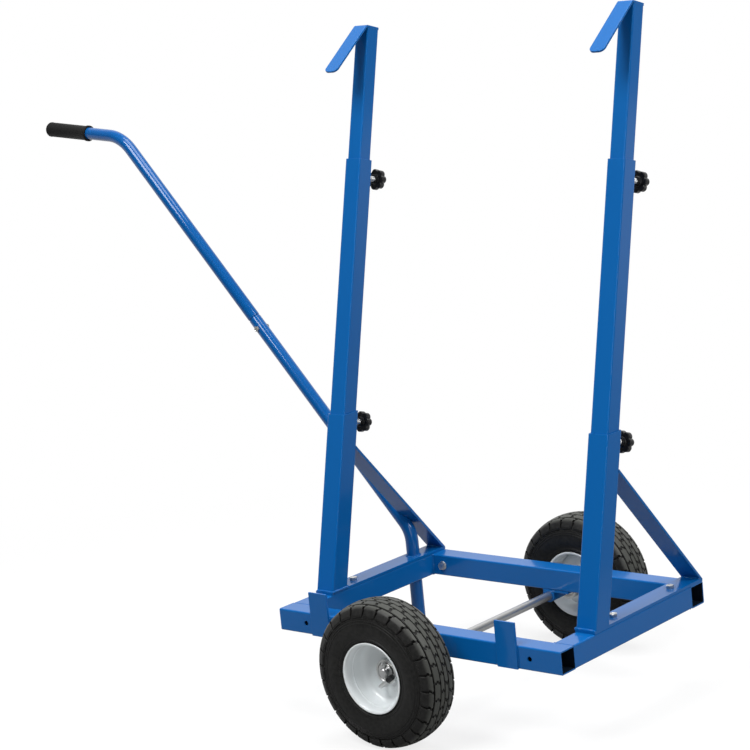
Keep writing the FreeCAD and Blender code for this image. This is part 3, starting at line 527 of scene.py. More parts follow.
# Clamp screws: a nut welded to the back of each sleeve, a threaded stud through it that presses
# on the inner tube, and a seven-lobed star knob moulded in black plastic on the stud's end.
black_plastic = grained(
    "black_moulded_plastic",
    0.05 * MM,
    {
        "Colour": (0.006, 0.006, 0.007, 1),
        "Drift Colour": (0.011, 0.011, 0.012, 1),
        "Drift Scale": 90,
        "Grain Scale": 1400,
        "Roughness": 0.27,
        "Roughness Drift": 0.14,
    },
    {"Specular IOR Level": 0.35},
)
WELD_NUT = {"flats": 17 * MM, "height": 8 * MM, "bore": 5.1 * MM}
KNOB_STAND = 25 * MM
STUD_TIP = 2.2 * MM
KNOB_PROFILE = (
    (6, 5.1, 0), (-5, 5.1, 0), (-5, 7.6, 0), (-4.4, 8.3, 0), (-0.6, 8.5, 0), (0.4, 9.6, 0),
    (0.4, 0.70, 1), (0, 0.82, 1), (0.3, 0.93, 1), (1.6, 1.00, 1), (9.4, 1.00, 1), (11.2, 0.95, 1),
    (12.0, 0.83, 1), (12.0, 8.4, 0), (11.4, 8.0, 0), (11.4, 7.2, 0), (12.0, 6.8, 0), (12.0, 5.4, 0),
)
LOBE_CENTRE = 12.4
LOBE_ROUND = 7.1


def star_reach(turn):
    """Reach of the star at an angle: seven round lobes that run into each other."""
    aside = (turn + pi / 7) % (2 * pi / 7) - pi / 7
    return (LOBE_CENTRE * cos(aside) + sqrt(LOBE_ROUND ** 2 - (LOBE_CENTRE * sin(aside)) ** 2)) * MM


def star_knob(bm, front):
    """The knob from its blind bore out to the collar, over the lobes and in to the cap."""
    across = OUT_OF_POST.cross(ALONG_X)
    rings = []
    for along, size, lobed in KNOB_PROFILE:
        ring = []
        for k in range(98):
            turn = 2 * pi * k / 98
            reach = size * star_reach(turn) if lobed else size * MM
            out = ALONG_X * cos(turn) + across * sin(turn)
            ring.append(front + OUT_OF_POST * along * MM + out * reach)
        rings.append(ring)
    loft(bm, rings)


lower_nuts = bmesh.new()
for hand in HANDS:
    upper_rise = POST_STEPS[hand][0] * MM - UPPER_SCREW
    upper_nut = bmesh.new()
    for step, rise, tube, nut_mesh in (
        ("lower", -LOWER_SCREW, SLEEVE, lower_nuts),
        ("upper", upper_rise, MIDDLE_TUBE, upper_nut),
    ):
        seat = up_post(hand, rise) + OUT_OF_POST * tube / 2
        nut(nut_mesh, seat, OUT_OF_POST, ALONG_X, **WELD_NUT)

        node = f"{hand}_{step}_knob"
        body = frame["nodes"][node]["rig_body"]
        knob = bmesh.new()
        star_knob(knob, seat + OUT_OF_POST * (KNOB_STAND + 5 * MM))
        new_piece(knob, f"{node}_moulded", black_plastic, "black_plastic", body, node)

        node = f"{hand}_{step}_stud"
        body = frame["nodes"][node]["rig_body"]
        stud = bmesh.new()
        tip = seat - OUT_OF_POST * STUD_TIP
        thread(stud, tip, OUT_OF_POST, ALONG_X, 5 * MM, 1.5 * MM, KNOB_STAND + STUD_TIP + 11 * MM)
        new_piece(stud, f"{node}_threaded", zinc, "zinc", body, node)
    node = f"{hand}_weld_nut"
    new_piece(upper_nut, f"{node}_coated", blue_paint, "blue_paint", f"{hand}_middle", node)
new_piece(lower_nuts, "lower_weld_nuts_coated", blue_paint, "blue_paint", "root", "lower_weld_nuts")


# Pull handle: two lengths of 25 mm tube bent on a former. The upper one necks down, plugs into
# the lower one and is held by a small bolt; the lower one runs on through the base as the leg.
# Blue coated steel, with a dip-moulded black rubber grip pushed on the free end.
TUBE = 12.5 * MM
BORE = 10.5 * MM
NECK = 10.3 * MM
UPPER_BEND = 90 * MM
LOWER_BEND = 58 * MM
HANDLE_RISE = radians(48.7)
GRIP_RISE = radians(5.8)
GRIP_RUN = 218 * MM
GRIP_LENGTH = 120.8
HANDLE_SPAN = 1026 * MM
HANDLE_SEAM = 535 * MM
BEND_ABOVE_DECK = 47.9 * MM
BOLT_BELOW_SEAM = 24 * MM
UP_SLOPE = Vector((-cos(HANDLE_RISE), 0, sin(HANDLE_RISE)))
ALONG_GRIP = Vector((-cos(GRIP_RISE), 0, sin(GRIP_RISE)))


def bent_line(start, corner, end, bend):
    """Points of a line that turns once on a bending former."""
    first = (corner - start).normalized()
    second = (end - corner).normalized()
    turn = first.angle(second)
    inward = (second - first * second.dot(first)).normalized()
    tangent = corner - first * bend * tan(turn / 2)
    line = [start]
    for k in range(19):
        swing = turn * k / 18
        line.append(tangent + first * bend * sin(swing) + inward * bend * (1 - cos(swing)))
    return line + [end]


def rings_along(line, across, radii, steps):
    """Rings square to a line, one at each of its points."""
    rings = []
    for k, spot in enumerate(line):
        ahead = line[min(k + 1, len(line) - 1)] - line[max(k - 1, 0)]
        rings.append(circle(spot, across, ahead.normalized().cross(across), radii[k], steps))
    return rings


def tube_wall(bm, line, outside, inside):
    """A tube along a flat line: rings out along its outside and back along its inside."""
    out, back = [rings_along(line, ALONG_Y, radii, 40) for radii in (outside, inside)]
    loft(bm, out + back[::-1], closed=True)


# The tube's coat is a darker blue than the frame's: painted shade for the round tube's sides that turn away
# from the lamps, under a glossier clear coat.
tube_paint_with_shade = grained(
    "tube_powder_coat_painted_shade",
    0.0004 * MM,
    {
        "Colour": (0.0015, 0.084, 0.300, 1),
        "Drift Colour": (0.002, 0.094, 0.325, 1),
        "Drift Scale": 6,
        "Grain Scale": 300,
        "Roughness": 0.30,
        "Roughness Drift": 0.08,
    },
    {"Specular IOR Level": 0.08, "Coat Weight": 0.7, "Coat Roughness": 0.06},
)
low_corner = Vector((leg.x, leg.y, deck + BEND_ABOVE_DECK))
high_corner = low_corner + UP_SLOPE * HANDLE_SPAN
seam = low_corner + UP_SLOPE * HANDLE_SEAM

lower_line = bent_line(leg, low_corner, seam - UP_SLOPE * 0.8 * MM, LOWER_BEND)
lower_line = [leg, leg + ALONG_Z * 0.8 * MM] + lower_line[1:] + [seam]
outside = [TUBE - 0.6 * MM] + [TUBE] * (len(lower_line) - 2) + [TUBE - 0.6 * MM]
handle_lower = bmesh.new()
tube_wall(handle_lower, lower_line, outside, [BORE] * len(lower_line))
new_piece(handle_lower, "handle_lower_tube", tube_paint_with_shade, "blue_paint", "root", "handle_lower")

upper_end = high_corner + ALONG_GRIP * (GRIP_RUN - 4 * MM)
upper_line = bent_line(seam + UP_SLOPE * 4.4 * MM, high_corner, upper_end, UPPER_BEND)
upper_line = [seam + UP_SLOPE * along * MM for along in (-60, 1.2, 2.6)] + upper_line
outside = [NECK, NECK, TUBE - 0.7 * MM] + [TUBE] * (len(upper_line) - 3)
inside = [NECK - 2 * MM] * 3 + [BORE] * (len(upper_line) - 3)
handle_upper = bmesh.new()
tube_wall(handle_upper, upper_line, outside, inside)
new_piece(handle_upper, "handle_upper_tube", tube_paint_with_shade, "blue_paint", "root", "handle_upper")

screw_spot = seam - UP_SLOPE * BOLT_BELOW_SEAM
handle_bolt = bmesh.new()
head_seat = screw_spot - ALONG_Y * TUBE
bolt_head(handle_bolt, head_seat, -ALONG_Y, ALONG_X, 10 * MM, 4 * MM)
thread(handle_bolt, head_seat - ALONG_Y * 0.5 * MM, ALONG_Y, ALONG_X, 3 * MM, 1 * MM, 31.5 * MM, 16)
new_piece(handle_bolt, "handle_bolt_zinc", zinc, "zinc", "root", "handle_bolt")
handle_nut = bmesh.new()
nut(handle_nut, screw_spot + ALONG_Y * TUBE, ALONG_Y, ALONG_X, 10 * MM, 4 * MM, 3.1 * MM)
new_piece(handle_nut, "handle_nut_zinc", zinc, "zinc", "root", "handle_nut")

grip_rubber = grained(
    "dipped_grip_rubber",
    0.25 * MM,
    {
        "Colour": (0.006, 0.006, 0.006, 1),
        "Drift Colour": (0.015, 0.015, 0.015, 1),
        "Drift Scale": 260,
        "Grain Scale": 700,
        "Roughness": 0.48,
        "Roughness Drift": 0.20,
    },
    {"Specular IOR Level": 0.12},
)
GRIP_MOUTH = (
    (12.6, 0.4), (13.2, 0), (15.7, 0), (16.3, 0.4), (16.5, 1.2), (16.5, 4.8), (16.2, 5.8),
    (15.4, 6.8), (15.0, 8),
)
GRIP_TIP = (
    (15.0, 7.2), (15.3, 6.4), (15.4, 5.2), (15.1, 3.6), (14.2, 1.9), (12.7, 0.7), (10.8, 0.1),
    (9.4, 0),
)
grip = bmesh.new()
grip_start = high_corner + ALONG_GRIP * (GRIP_RUN - (GRIP_LENGTH + 0.2) * MM)
profile = [(12.6, GRIP_LENGTH - 3.8), *GRIP_MOUTH]
profile += [(radius, GRIP_LENGTH - short) for radius, short in GRIP_TIP]
lathe(grip, grip_start, ALONG_GRIP, ALONG_Y, profile, 48, closed=False)
new_piece(grip, "handle_grip_dipped", grip_rubber, "grip_rubber", "root", "handle_grip")


# Axle: a drawn 16 mm steel bar held under the rails by two strap clips with a hexagon bolt each,
# spacer tubes and washers at each wheel and a split pin through each end. Bar and small parts
# are zinc plated, the clips blue.
drawn_zinc = grained(
    "drawn_zinc_bar",
    0.02 * MM,
    {
        "Colour": (0.66, 0.66, 0.65, 1),
        "Drift Colour": (0.48, 0.49, 0.50, 1),
        "Stretch": (1, 0.03, 1),
        "Drift Scale": 420,
        "Grain Scale": 1600,
        "Roughness": 0.24,
        "Roughness Drift": 0.20,
    },
    {"Metallic": 1.0},
)
AXLE = 8
axle_middle = middle("axle")
reach = (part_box("axle")[1].y - axle_middle.y) / MM
axle = bmesh.new()
ends = ((AXLE - 1, -reach), (AXLE, 1 - reach), (AXLE, reach - 1), (AXLE - 1, reach))
lathe(axle, axle_middle, ALONG_Y, ALONG_X, ends, 40, closed=False)
new_piece(axle, "axle_bar", drawn_zinc, "zinc", "root", "axle")

for end in ("near", "far"):
    coated_steel(f"{end}_axle_bracket")
bracket_bolts = bmesh.new()
for rail in ("near_rail", "far_rail"):
    seat = Vector((axle_middle.x + 32 * MM, middle(rail).y, rail_low.z - 4 * MM))
    frame_bolt(bracket_bolts, seat, -ALONG_Z, ALONG_X, 14 * MM)
new_piece(bracket_bolts, "bracket_bolts_zinc", zinc, "zinc", "root", "bracket_bolts")

HUB_FACE = 292 * MM
SPACER_INSET = 77 * MM
SPACER = (
    (8.1, 0.4), (8.5, 0), (11.6, 0), (12, 0.4), (12, 17.3), (11.6, 17.7), (8.5, 17.7), (8.1, 17.3),
)
AXLE_WASHER = (
    (8.2, 0.3), (8.6, 0), (14.7, 0), (15, 0.3), (15, 2.2), (14.7, 2.5), (8.6, 2.5), (8.2, 2.2),
)
PIN_WIRE = 1.0 * MM
spacers = bmesh.new()
washers = bmesh.new()
pins = bmesh.new()
for side in (-1, 1):
    outward = ALONG_Y * side
    centre = Vector((axle_middle.x, 0, axle_middle.z))
    inner = centre + outward * (HUB_FACE - SPACER_INSET)
    lathe(spacers, inner, outward, ALONG_X, SPACER, 40)
    seat = centre + outward * (HUB_FACE - 0.7 * MM)
    lathe(washers, seat, outward, ALONG_X, AXLE_WASHER, 40)

    spot = centre + outward * (HUB_FACE + 3.9 * MM)
    wire = [(-3.4, -11), (-2.2, -9.8), (-1.05, -8.2), (-1.0, 0), (-1.0, 11), (-1.6, 12.2)]
    eye = [(-3.3 * cos(turn), 15 + 3.3 * sin(turn)) for turn in (pi * k / 10 for k in range(-2, 13))]
    path = wire + eye + [(-x, z) for x, z in wire[::-1]]
    points = [spot + ALONG_X * x * MM + ALONG_Z * z * MM for x, z in path]
    loft(pins, rings_along(points, ALONG_Y, [PIN_WIRE] * len(points), 10))
new_piece(spacers, "axle_spacers_zinc", zinc, "zinc", "root", "axle_spacers")
new_piece(washers, "axle_washers_zinc", zinc, "zinc", "root", "axle_washers")
new_piece(pins, "split_pins_zinc", zinc, "zinc", "root", "split_pins")


# Air tyres: moulded black rubber on a fabric carcass. Each half of the crown has three rings of
# 26 zigzag blocks, staggered to each other, the outer ones wrapped over the shoulder. Low bridges
# join the blocks along the tyre and thin ribs run round each side wall.
WHEELS = [
    (end, ALONG_Y * side, Vector((axle_middle.x, side * HUB_FACE, axle_middle.z)))
    for end, side in (("near", -1), ("far", 1))
]
TYRE_RADIUS = 128.0
CROWN_ROUND = 98.6
CROWN_EDGE = 29.0
GROOVE = 4.6
BRIDGE = 1.6
BLOCKS = 26
BLOCK_GAP = 4.8
BLOCK_STEP = 2.6
BLOCK_SKEW = 0.16
INNER_ROW = (1.1, 9.1)
MIDDLE_ROW = (11.1, 22.9)
SHOULDER_ROW = 25.7
SHOULDER_TIP = (122.27, 33.46)
SIDE_TOP = 113.0
LUG_END = 106.0
RIBS = (96.0, 100.2, 103.8)
SECTION_MIDDLE = 86.0
BLOCK_HALF = pi * TYRE_RADIUS / BLOCKS - BLOCK_GAP / 2


def black_rubber(name):
    """Moulded rubber with a faint bloom in patches."""
    return grained(
        name,
        0.2 * MM,
        {
            "Colour": (0.001, 0.001, 0.001, 1),
            "Drift Colour": (0.026, 0.026, 0.025, 1),
            "Drift Scale": 190,
            "Grain Scale": 700,
            "Roughness": 0.34,
            "Roughness Drift": 0.2,
        },
        {"Specular IOR Level": 0.2},
    )


def tread_rubber():
    """The same rubber, paler on the outer faces of the blocks: partly dust on the tread, partly painted
    light for the lamps' sheen on the blocks.
    """
    material = black_rubber("tread_rubber")
    tree = material.node_tree
    shader = tree.nodes["Principled BSDF"]
    skin = [node for node in tree.nodes if node.type == "GROUP"][0]
    place = add_node(tree, "TexCoord")
    from_axle = add_node(tree, "VectorMath", "SUBTRACT")
    from_axle.inputs[1].default_value = (axle_middle.x, 0, axle_middle.z)
    flat = add_node(tree, "VectorMath", "MULTIPLY")
    flat.inputs[1].default_value = (1, 0, 1)
    radius = add_node(tree, "VectorMath", "LENGTH")
    dust_and_sheen = add_node(tree, "MapRange")
    dust_and_sheen.inputs["From Min"].default_value = 0.119
    dust_and_sheen.inputs["From Max"].default_value = 0.1245
    dust_and_sheen_mix, first, second, mixed = colour_mix(tree)
    # the paler grey of the blocks: dust, and painted light for their sheen
    second.default_value = (0.064, 0.066, 0.060, 1)
    connect(
        tree,
        (place.outputs["Object"], from_axle.inputs[0]),
        (from_axle.outputs["Vector"], flat.inputs[0]),
        (flat.outputs["Vector"], radius.inputs[0]),
        (radius.outputs["Value"], dust_and_sheen.inputs["Value"]),
        (dust_and_sheen.outputs["Result"], dust_and_sheen_mix.inputs["Factor"]),
        (skin.outputs["Colour"], first),
        (mixed, shader.inputs["Base Color"]),
    )
    return material


tyre_rubber = black_rubber("tyre_rubber")
block_rubber = tread_rubber()


def crown(across):
    """Radius of the tread at a distance from the middle of the tyre."""
    return TYRE_RADIUS - CROWN_ROUND + sqrt(CROWN_ROUND ** 2 - across ** 2)


def side_wall(radius, bulge_at, bulge_round, out):
    """How far a side wall stands from the middle of the tyre at a radius."""
    return out - bulge_round + sqrt(bulge_round ** 2 - (radius - bulge_at) ** 2)


def tread_line():
    """The outer outline of the tread and shoulder from the middle out, as (radius, across)."""
    line = [(crown(across), across) for across in (CROWN_EDGE * k / 12 for k in range(13))]
    start = line[-1]
    end = (SIDE_TOP, side_wall(SIDE_TOP, 89, 63.2, 42))
    for k in range(1, 9):
        t = k / 8
        weights = ((1 - t) ** 2, 2 * t * (1 - t), t ** 2)
        corners = (start, SHOULDER_TIP, end)
        line.append(tuple(sum(w * c[i] for w, c in zip(weights, corners)) for i in (0, 1)))
    for k in range(1, 8):
        radius = SIDE_TOP + (LUG_END - 2 - SIDE_TOP) * k / 7
        line.append((radius, side_wall(radius, 89, 63.2, 42)))
    return line


TREAD_LINE = tread_line()
TREAD_REACH = [0.0]
for before, after in zip(TREAD_LINE, TREAD_LINE[1:]):
    step = sqrt((after[0] - before[0]) ** 2 + (after[1] - before[1]) ** 2)
    TREAD_REACH.append(TREAD_REACH[-1] + step)


def on_tread(along):
    """Place and outward normal, in (radius, across), at a distance along the tread line."""
    side = 1 if along >= 0 else -1
    along = min(abs(along), TREAD_REACH[-1] - 0.01)
    k = max(i for i, reach in enumerate(TREAD_REACH) if reach <= along)
    share = (along - TREAD_REACH[k]) / (TREAD_REACH[k + 1] - TREAD_REACH[k])
    (r0, a0), (r1, a1) = TREAD_LINE[k], TREAD_LINE[k + 1]
    length = sqrt((r1 - r0) ** 2 + (a1 - a0) ** 2)
    spot = (r0 + (r1 - r0) * share, side * (a0 + (a1 - a0) * share))
    return spot, ((a1 - a0) / length, side * (r0 - r1) / length)


def tread_block(bm, hub, outward, angle, stations):
    """One rubber block, skinned across the tyre through stations (along, drop, shift, half)."""
    spoke = outward.cross(ALONG_X)
    rings = []
    for along, drop, shift, half in stations:
        (radius, across), (rise, lean) = on_tread(along)
        ring = []
        for offset, depth in (
            (-half - 0.5, GROOVE + 1.5), (-half, 0.8 + drop), (-half + 0.8, drop), (0, drop),
            (half - 0.8, drop), (half, 0.8 + drop), (half + 0.5, GROOVE + 1.5),
        ):
            turn = angle + (shift + offset) / TYRE_RADIUS
            out = ALONG_X * cos(turn) + spoke * sin(turn)
            ring.append(hub + (out * (radius - rise * depth) + outward * (across - lean * depth)) * MM)
        rings.append(ring)
    loft(bm, rings)


def row_stations(side, start, end):
    """A block of the crown, stepped to and fro so that its long edges zigzag."""
    third = (end - start) / 3
    spots = [(start, 0.8, 0), (start + 0.8, 0, 0)]
    for turn, step in ((start + third, 0), (end - third, 1)):
        spots += [(turn - 0.3, 0, step), (turn + 0.3, 0, 1 - step)]
    spots += [(end - 0.8, 0, 0), (end, 0.8, 0)]
    stations = []
    for along, drop, step in spots:
        shift = side * (BLOCK_SKEW * along + step * BLOCK_STEP)
        stations.append((side * along, drop, shift, BLOCK_HALF))
    return stations


def shoulder_stations(side):
    """A block of the shoulder, wrapped over the edge and stepped down on the side wall."""
    start = SHOULDER_ROW
    end = max(reach for reach, spot in zip(TREAD_REACH, TREAD_LINE) if spot[0] > LUG_END)
    spots = (
        (start, 0.8, 0, 0), (start + 0.8, 0, 0, 0), (start + 4.6, 0, 0, 0), (start + 5.2, 0, 1, 0),
        (35.4, 0, 1, 0), (36, 0, 0, 0), (39, 0, 0, 0.4), (end - 3.2, 0, 0, 0.6),
        (end - 2.8, 0.6, 0, 0.6), (end, 0.8, 0, 0.6),
    )
    stations = []
    for along, drop, step, widen in spots:
        shift = side * (BLOCK_SKEW * along + step * BLOCK_STEP)
        stations.append((side * along, drop, shift, BLOCK_HALF + widen))
    return stations


def carcass_profile():
    """The tyre under its blocks, from one bead over the crown to the other and back inside."""
    bead = [(57.2, 26.0), (57.2, 34.0)]
    for turn in (pi / 2 * k / 4 for k in range(1, 5)):
        bead.append((60 - 2.8 * cos(turn), 34 + 2.8 * sin(turn)))
    radii = [63, 65, 66.2, 66.8, 69.4, 70.0, 73, 77, 81, 86, 90, 93, 95.2]
    for rib in RIBS:
        radii += [rib - 0.8, rib - 0.4, rib + 0.4, rib + 0.8]
    radii += [106, 108, 110, 113, 116.5, 119.2]
    raised = [66.8, 69.4] + [rib + edge for rib in RIBS for edge in (-0.4, 0.4)]
    for radius in radii:
        rib = 0.7 if radius in raised else 0
        sunk = 0.5 + max(0, radius - 104) * 0.05
        bead.append((radius, side_wall(radius, 86, 50.03, 42) - sunk + rib))
    floor = []
    for outer, inner in ((28.5, SHOULDER_ROW), MIDDLE_ROW[::-1], INNER_ROW[::-1]):
        if floor:
            floor.append((crown(outer) - GROOVE, outer + 0.1))
        floor += [(crown(outer) - BRIDGE, outer), (crown(inner) - BRIDGE, inner)]
        floor.append((crown(inner) - GROOVE, inner - 0.1))
    up_side = bead + floor
    down_side = [(radius, -across) for radius, across in reversed(up_side)]
    inside = [(63, -28), (84, -33), (104, -27), (115, -14), (115, 14), (104, 27), (84, 33), (63, 28)]
    return up_side + down_side + inside


for end, outward, centre in WHEELS:
    tyre = bmesh.new()
    lathe(tyre, centre, outward, ALONG_X, carcass_profile(), 120)
    for half, stagger in ((1, 0), (-1, 0.5)):
        for k in range(BLOCKS):
            turn = (k + stagger) * 2 * pi / BLOCKS
            for (start, stop), lag in ((INNER_ROW, 0), (MIDDLE_ROW, pi / BLOCKS)):
                tread_block(tyre, centre, outward, turn + lag, row_stations(half, start, stop))
            tread_block(tyre, centre, outward, turn, shoulder_stations(half))
    node = f"{end}_tyre"
    moulded = new_piece(tyre, f"{node}_moulded", tyre_rubber, "tyre_rubber", f"{end}_wheel", node)
    moulded.data.materials.append(block_rubber)
    # Outward faces of the blocks take the tread rubber, whose paler grey is partly painted light.
    for face in moulded.data.polygons:
        arm = face.center - centre
        across = arm.dot(outward)
        spoke = arm - outward * across
        section = arm - spoke.normalized() * SECTION_MIDDLE * MM
        top = crown(min(abs(across) / MM, CROWN_EDGE)) - BRIDGE / 2
        on_shoulder = abs(across) > CROWN_EDGE * MM and spoke.length > LUG_END * MM
        if (on_shoulder or spoke.length > top * MM) and face.normal.dot(section.normalized()) > 0.6:
            face.material_index = 1


# Rims: pressed from sheet steel as one deep dish with flared edges that hold the tyre's beads,
# stove enamelled in a pale grey white.
white_enamel = grained(
    "white_enamel",
    0.03 * MM,
    {
        "Colour": (0.77, 0.815, 0.83, 1),
        "Drift Colour": (0.82, 0.855, 0.865, 1),
        "Drift Scale": 25,
        "Grain Scale": 500,
        "Roughness": 0.28,
        "Roughness Drift": 0.10,
    },
    {"Coat Weight": 0.4, "Coat Roughness": 0.12},
)


def sweep(centre, radius, start, end, steps):
    """Points of an arc in a profile, from one angle in degrees to another."""
    turns = [radians(start + (end - start) * k / steps) for k in range(steps + 1)]
    return [(centre[0] + radius * cos(turn), centre[1] + radius * sin(turn)) for turn in turns]


def flare(side):
    """Points where the barrel's inside opens out to the lip, a quarter of an ellipse."""
    turns = [pi / 2 * k / 10 for k in range(11)]
    return [(60.6 - 5.6 * cos(turn), side * (28 + 11 * sin(turn))) for turn in turns]


RIM_PROFILE = (
    [(21.6, -6)]
    + sweep((43, 6), 12, -90, 0, 10)
    + [(55, 19.4), (54.4, 20.6), (54.4, 21.4), (55, 22.6)]
    + flare(1)
    + sweep((61, 38), 1, 90, -90, 6)
    + sweep((60, 34), 3, 90, 180, 6)
    + sweep((60, -34), 3, 180, 270, 6)
    + sweep((61, -38), 1, 90, -90, 6)
    + flare(-1)[::-1]
    + sweep((43, 6), 14, -31, -90, 8)
    + [(21.6, -8)]
)
for end, outward, centre in WHEELS:
    rim = bmesh.new()
    lathe(rim, centre, outward, ALONG_X, RIM_PROFILE, 120)
    new_piece(rim, f"{end}_rim_pressed", white_enamel, "white_paint", f"{end}_wheel", f"{end}_rim")


# Hubs: a turned steel tube welded through each rim, with a shielded ball bearing pressed into
# each end. Plated tube, ground steel races and pressed steel shields, whose dark grey is partly
# their own dull finish and partly painted shade inside the hub.
# A dark grey: the shields' own dull steel, darkened further as painted shade for the inside of the hub.
dark_shield_steel_and_shade = grained(
    "dark_shield_steel_and_shade",
    0.02 * MM,
    {
        "Colour": (0.16, 0.16, 0.155, 1),
        "Drift Colour": (0.10, 0.10, 0.10, 1),
        "Drift Scale": 140,
        "Grain Scale": 1500,
        "Roughness": 0.28,
        "Roughness Drift": 0.2,
    },
    {"Metallic": 1.0},
)
race_steel = grained(
    "ground_race_steel",
    0.01 * MM,
    {
        "Colour": (0.58, 0.57, 0.55, 1),
        "Drift Colour": (0.42, 0.42, 0.42, 1),
        "Drift Scale": 220,
        "Grain Scale": 2000,
        "Roughness": 0.18,
        "Roughness Drift": 0.16,
    },
    {"Metallic": 1.0},
)
HUB_PROFILE = (
    (17.6, -0.5), (18.1, 0), (20.9, 0), (21.5, -0.6), (21.5, -59.4), (20.9, -60), (18.1, -60),
    (17.6, -59.5), (17.6, -48), (15.5, -48), (15.5, -12), (17.6, -12),
)
OUTER_RACE = (
    (14.5, 0.4), (15, 0), (17, 0), (17.5, 0.5), (17.5, 10.5), (17, 11), (15, 11), (14.5, 10.6),
)
INNER_RACE = (
    (8.06, 0.4), (8.5, 0), (10.6, 0), (11, 0.4), (11, 10.6), (10.6, 11), (8.5, 11), (8.06, 10.6),
)
SHIELD = (
    (10.9, 0.8), (12, 0.5), (13.6, 0.5), (14.6, 0.8), (14.6, 10.2), (13.6, 10.5), (12, 10.5),
    (10.9, 10.2),
)
BEARING_STARTS = (-12, -59)
for end, outward, centre in WHEELS:
    hub = bmesh.new()
    lathe(hub, centre, outward, ALONG_X, HUB_PROFILE, 64)
    new_piece(hub, f"{end}_hub_turned", zinc, "zinc", f"{end}_wheel", f"{end}_hub")
    races = bmesh.new()
    shields = bmesh.new()
    for start in BEARING_STARTS:
        for mesh, profile in ((races, OUTER_RACE), (races, INNER_RACE), (shields, SHIELD)):
            turned = [(radius, start + along) for radius, along in profile]
            lathe(mesh, centre, outward, ALONG_X, turned, 64)
    new_piece(races, f"{end}_bearing_races", race_steel, "bearing_steel", f"{end}_wheel", f"{end}_bearings")
    new_piece(shields, f"{end}_bearing_shields", dark_shield_steel_and_shade, "bearing_steel", f"{end}_wheel")


# Valves: a plated elbow stem clamped through each dish with a thin ring, bent over towards the
# hub so that a pump can reach it, with a ribbed black plastic cap screwed on its end.
VALVE_FOOT = (-9 * MM, -25 * MM)
VALVE_TURN = radians(35.5)
VALVE_RADIUS = 3.1 * MM
ELBOW = 6 * MM
STEM_RISE = 17 * MM
CLAMP_RING = ((3.15, 0), (4.6, 0), (4.7, 0.2), (4.7, 2.0), (4.2, 2.5), (3.15, 2.5))
CAP_PROFILE = (
    (3.3, 10), (3.3, 0), (4.4, 0), (4.8, 0.6), (4.8, 13.8), (4.3, 15.2), (3.0, 16), (0.6, 16),
)
for end, outward, centre in WHEELS:
    spoke = outward.cross(ALONG_X)
    foot = centre + ALONG_X * VALVE_FOOT[0] + spoke * VALVE_FOOT[1] - outward * 6 * MM
    run = ALONG_X * cos(VALVE_TURN) + spoke * sin(VALVE_TURN)
    aside = run.cross(outward)
    bend = foot + outward * (STEM_RISE - ELBOW)
    line = [foot - outward * 4 * MM, foot]
    for k in range(9):
        swing = pi / 2 * k / 8
        line.append(bend + outward * ELBOW * sin(swing) + run * ELBOW * (1 - cos(swing)))
    stem_end = foot + outward * STEM_RISE + run * 26 * MM
    line += [stem_end, stem_end + run * 8 * MM]
    stem = bmesh.new()
    loft(stem, rings_along(line, aside, [VALVE_RADIUS] * len(line), 24))
    lathe(stem, foot, outward, ALONG_X, CLAMP_RING, 32)
    new_piece(stem, f"{end}_valve_elbow", zinc, "zinc", f"{end}_wheel", f"{end}_valve_stem")

    cap = bmesh.new()
    rings = []
    for radius, along in CAP_PROFILE:
        ring = []
        for k in range(72):
            turn = 2 * pi * k / 72
            rib = 0.3 if radius > 4.2 and k % 4 in (1, 2) else 0
            out = outward * cos(turn) + aside * sin(turn)
            ring.append(stem_end + run * along * MM + out * (radius + rib - 0.1) * MM)
        rings.append(ring)
    loft(cap, rings)
    node = f"{end}_valve_cap"
    new_piece(cap, f"{node}_ribbed", black_plastic, "black_plastic", f"{end}_wheel", node)


# Studio: a strip of white paper under the object that runs on to a white backdrop and takes its
# shadow, a dark floor beside it, a dim room, and large soft lamps above and beside the camera.
# The floor and the room are white to the eye all round.
FLOOR_REACH = 16.0
TO_BACKDROP = Vector((-0.66, 0.75, 0))
ACROSS_PAPER = Vector((0.75, 0.66, 0))


def towards_backdrop(tree, vector, start, end):
    """How far a place or a direction lies towards the backdrop, from zero to one."""
    along = add_node(tree, "VectorMath", "DOT_PRODUCT")
    along.inputs[1].default_value = TO_BACKDROP
    spread = add_node(tree, "MapRange")
    spread.interpolation_type = "SMOOTHSTEP"
    spread.inputs["From Min"].default_value = start
    spread.inputs["From Max"].default_value = end
    connect(tree, (vector, along.inputs[0]), (along.outputs["Value"], spread.inputs["Value"]))
    return spread.outputs["Result"]


def seen_ray(tree, backdrop):
    """One for the eye and through glass, and for a mirror that looks at the backdrop."""
    path = add_node(tree, "LightPath")
    mirror = add_node(tree, "Math", "MULTIPLY")
    eye = add_node(tree, "Math", "MAXIMUM")
    seen = add_node(tree, "Math", "MAXIMUM")
    connect(
        tree,
        (path.outputs["Is Glossy Ray"], mirror.inputs[0]),
        (backdrop, mirror.inputs[1]),
        (path.outputs["Is Camera Ray"], eye.inputs[0]),
        (path.outputs["Is Transmission Ray"], eye.inputs[1]),
        (eye.outputs["Value"], seen.inputs[0]),
        (mirror.outputs["Value"], seen.inputs[1]),
    )
    return seen.outputs["Value"]


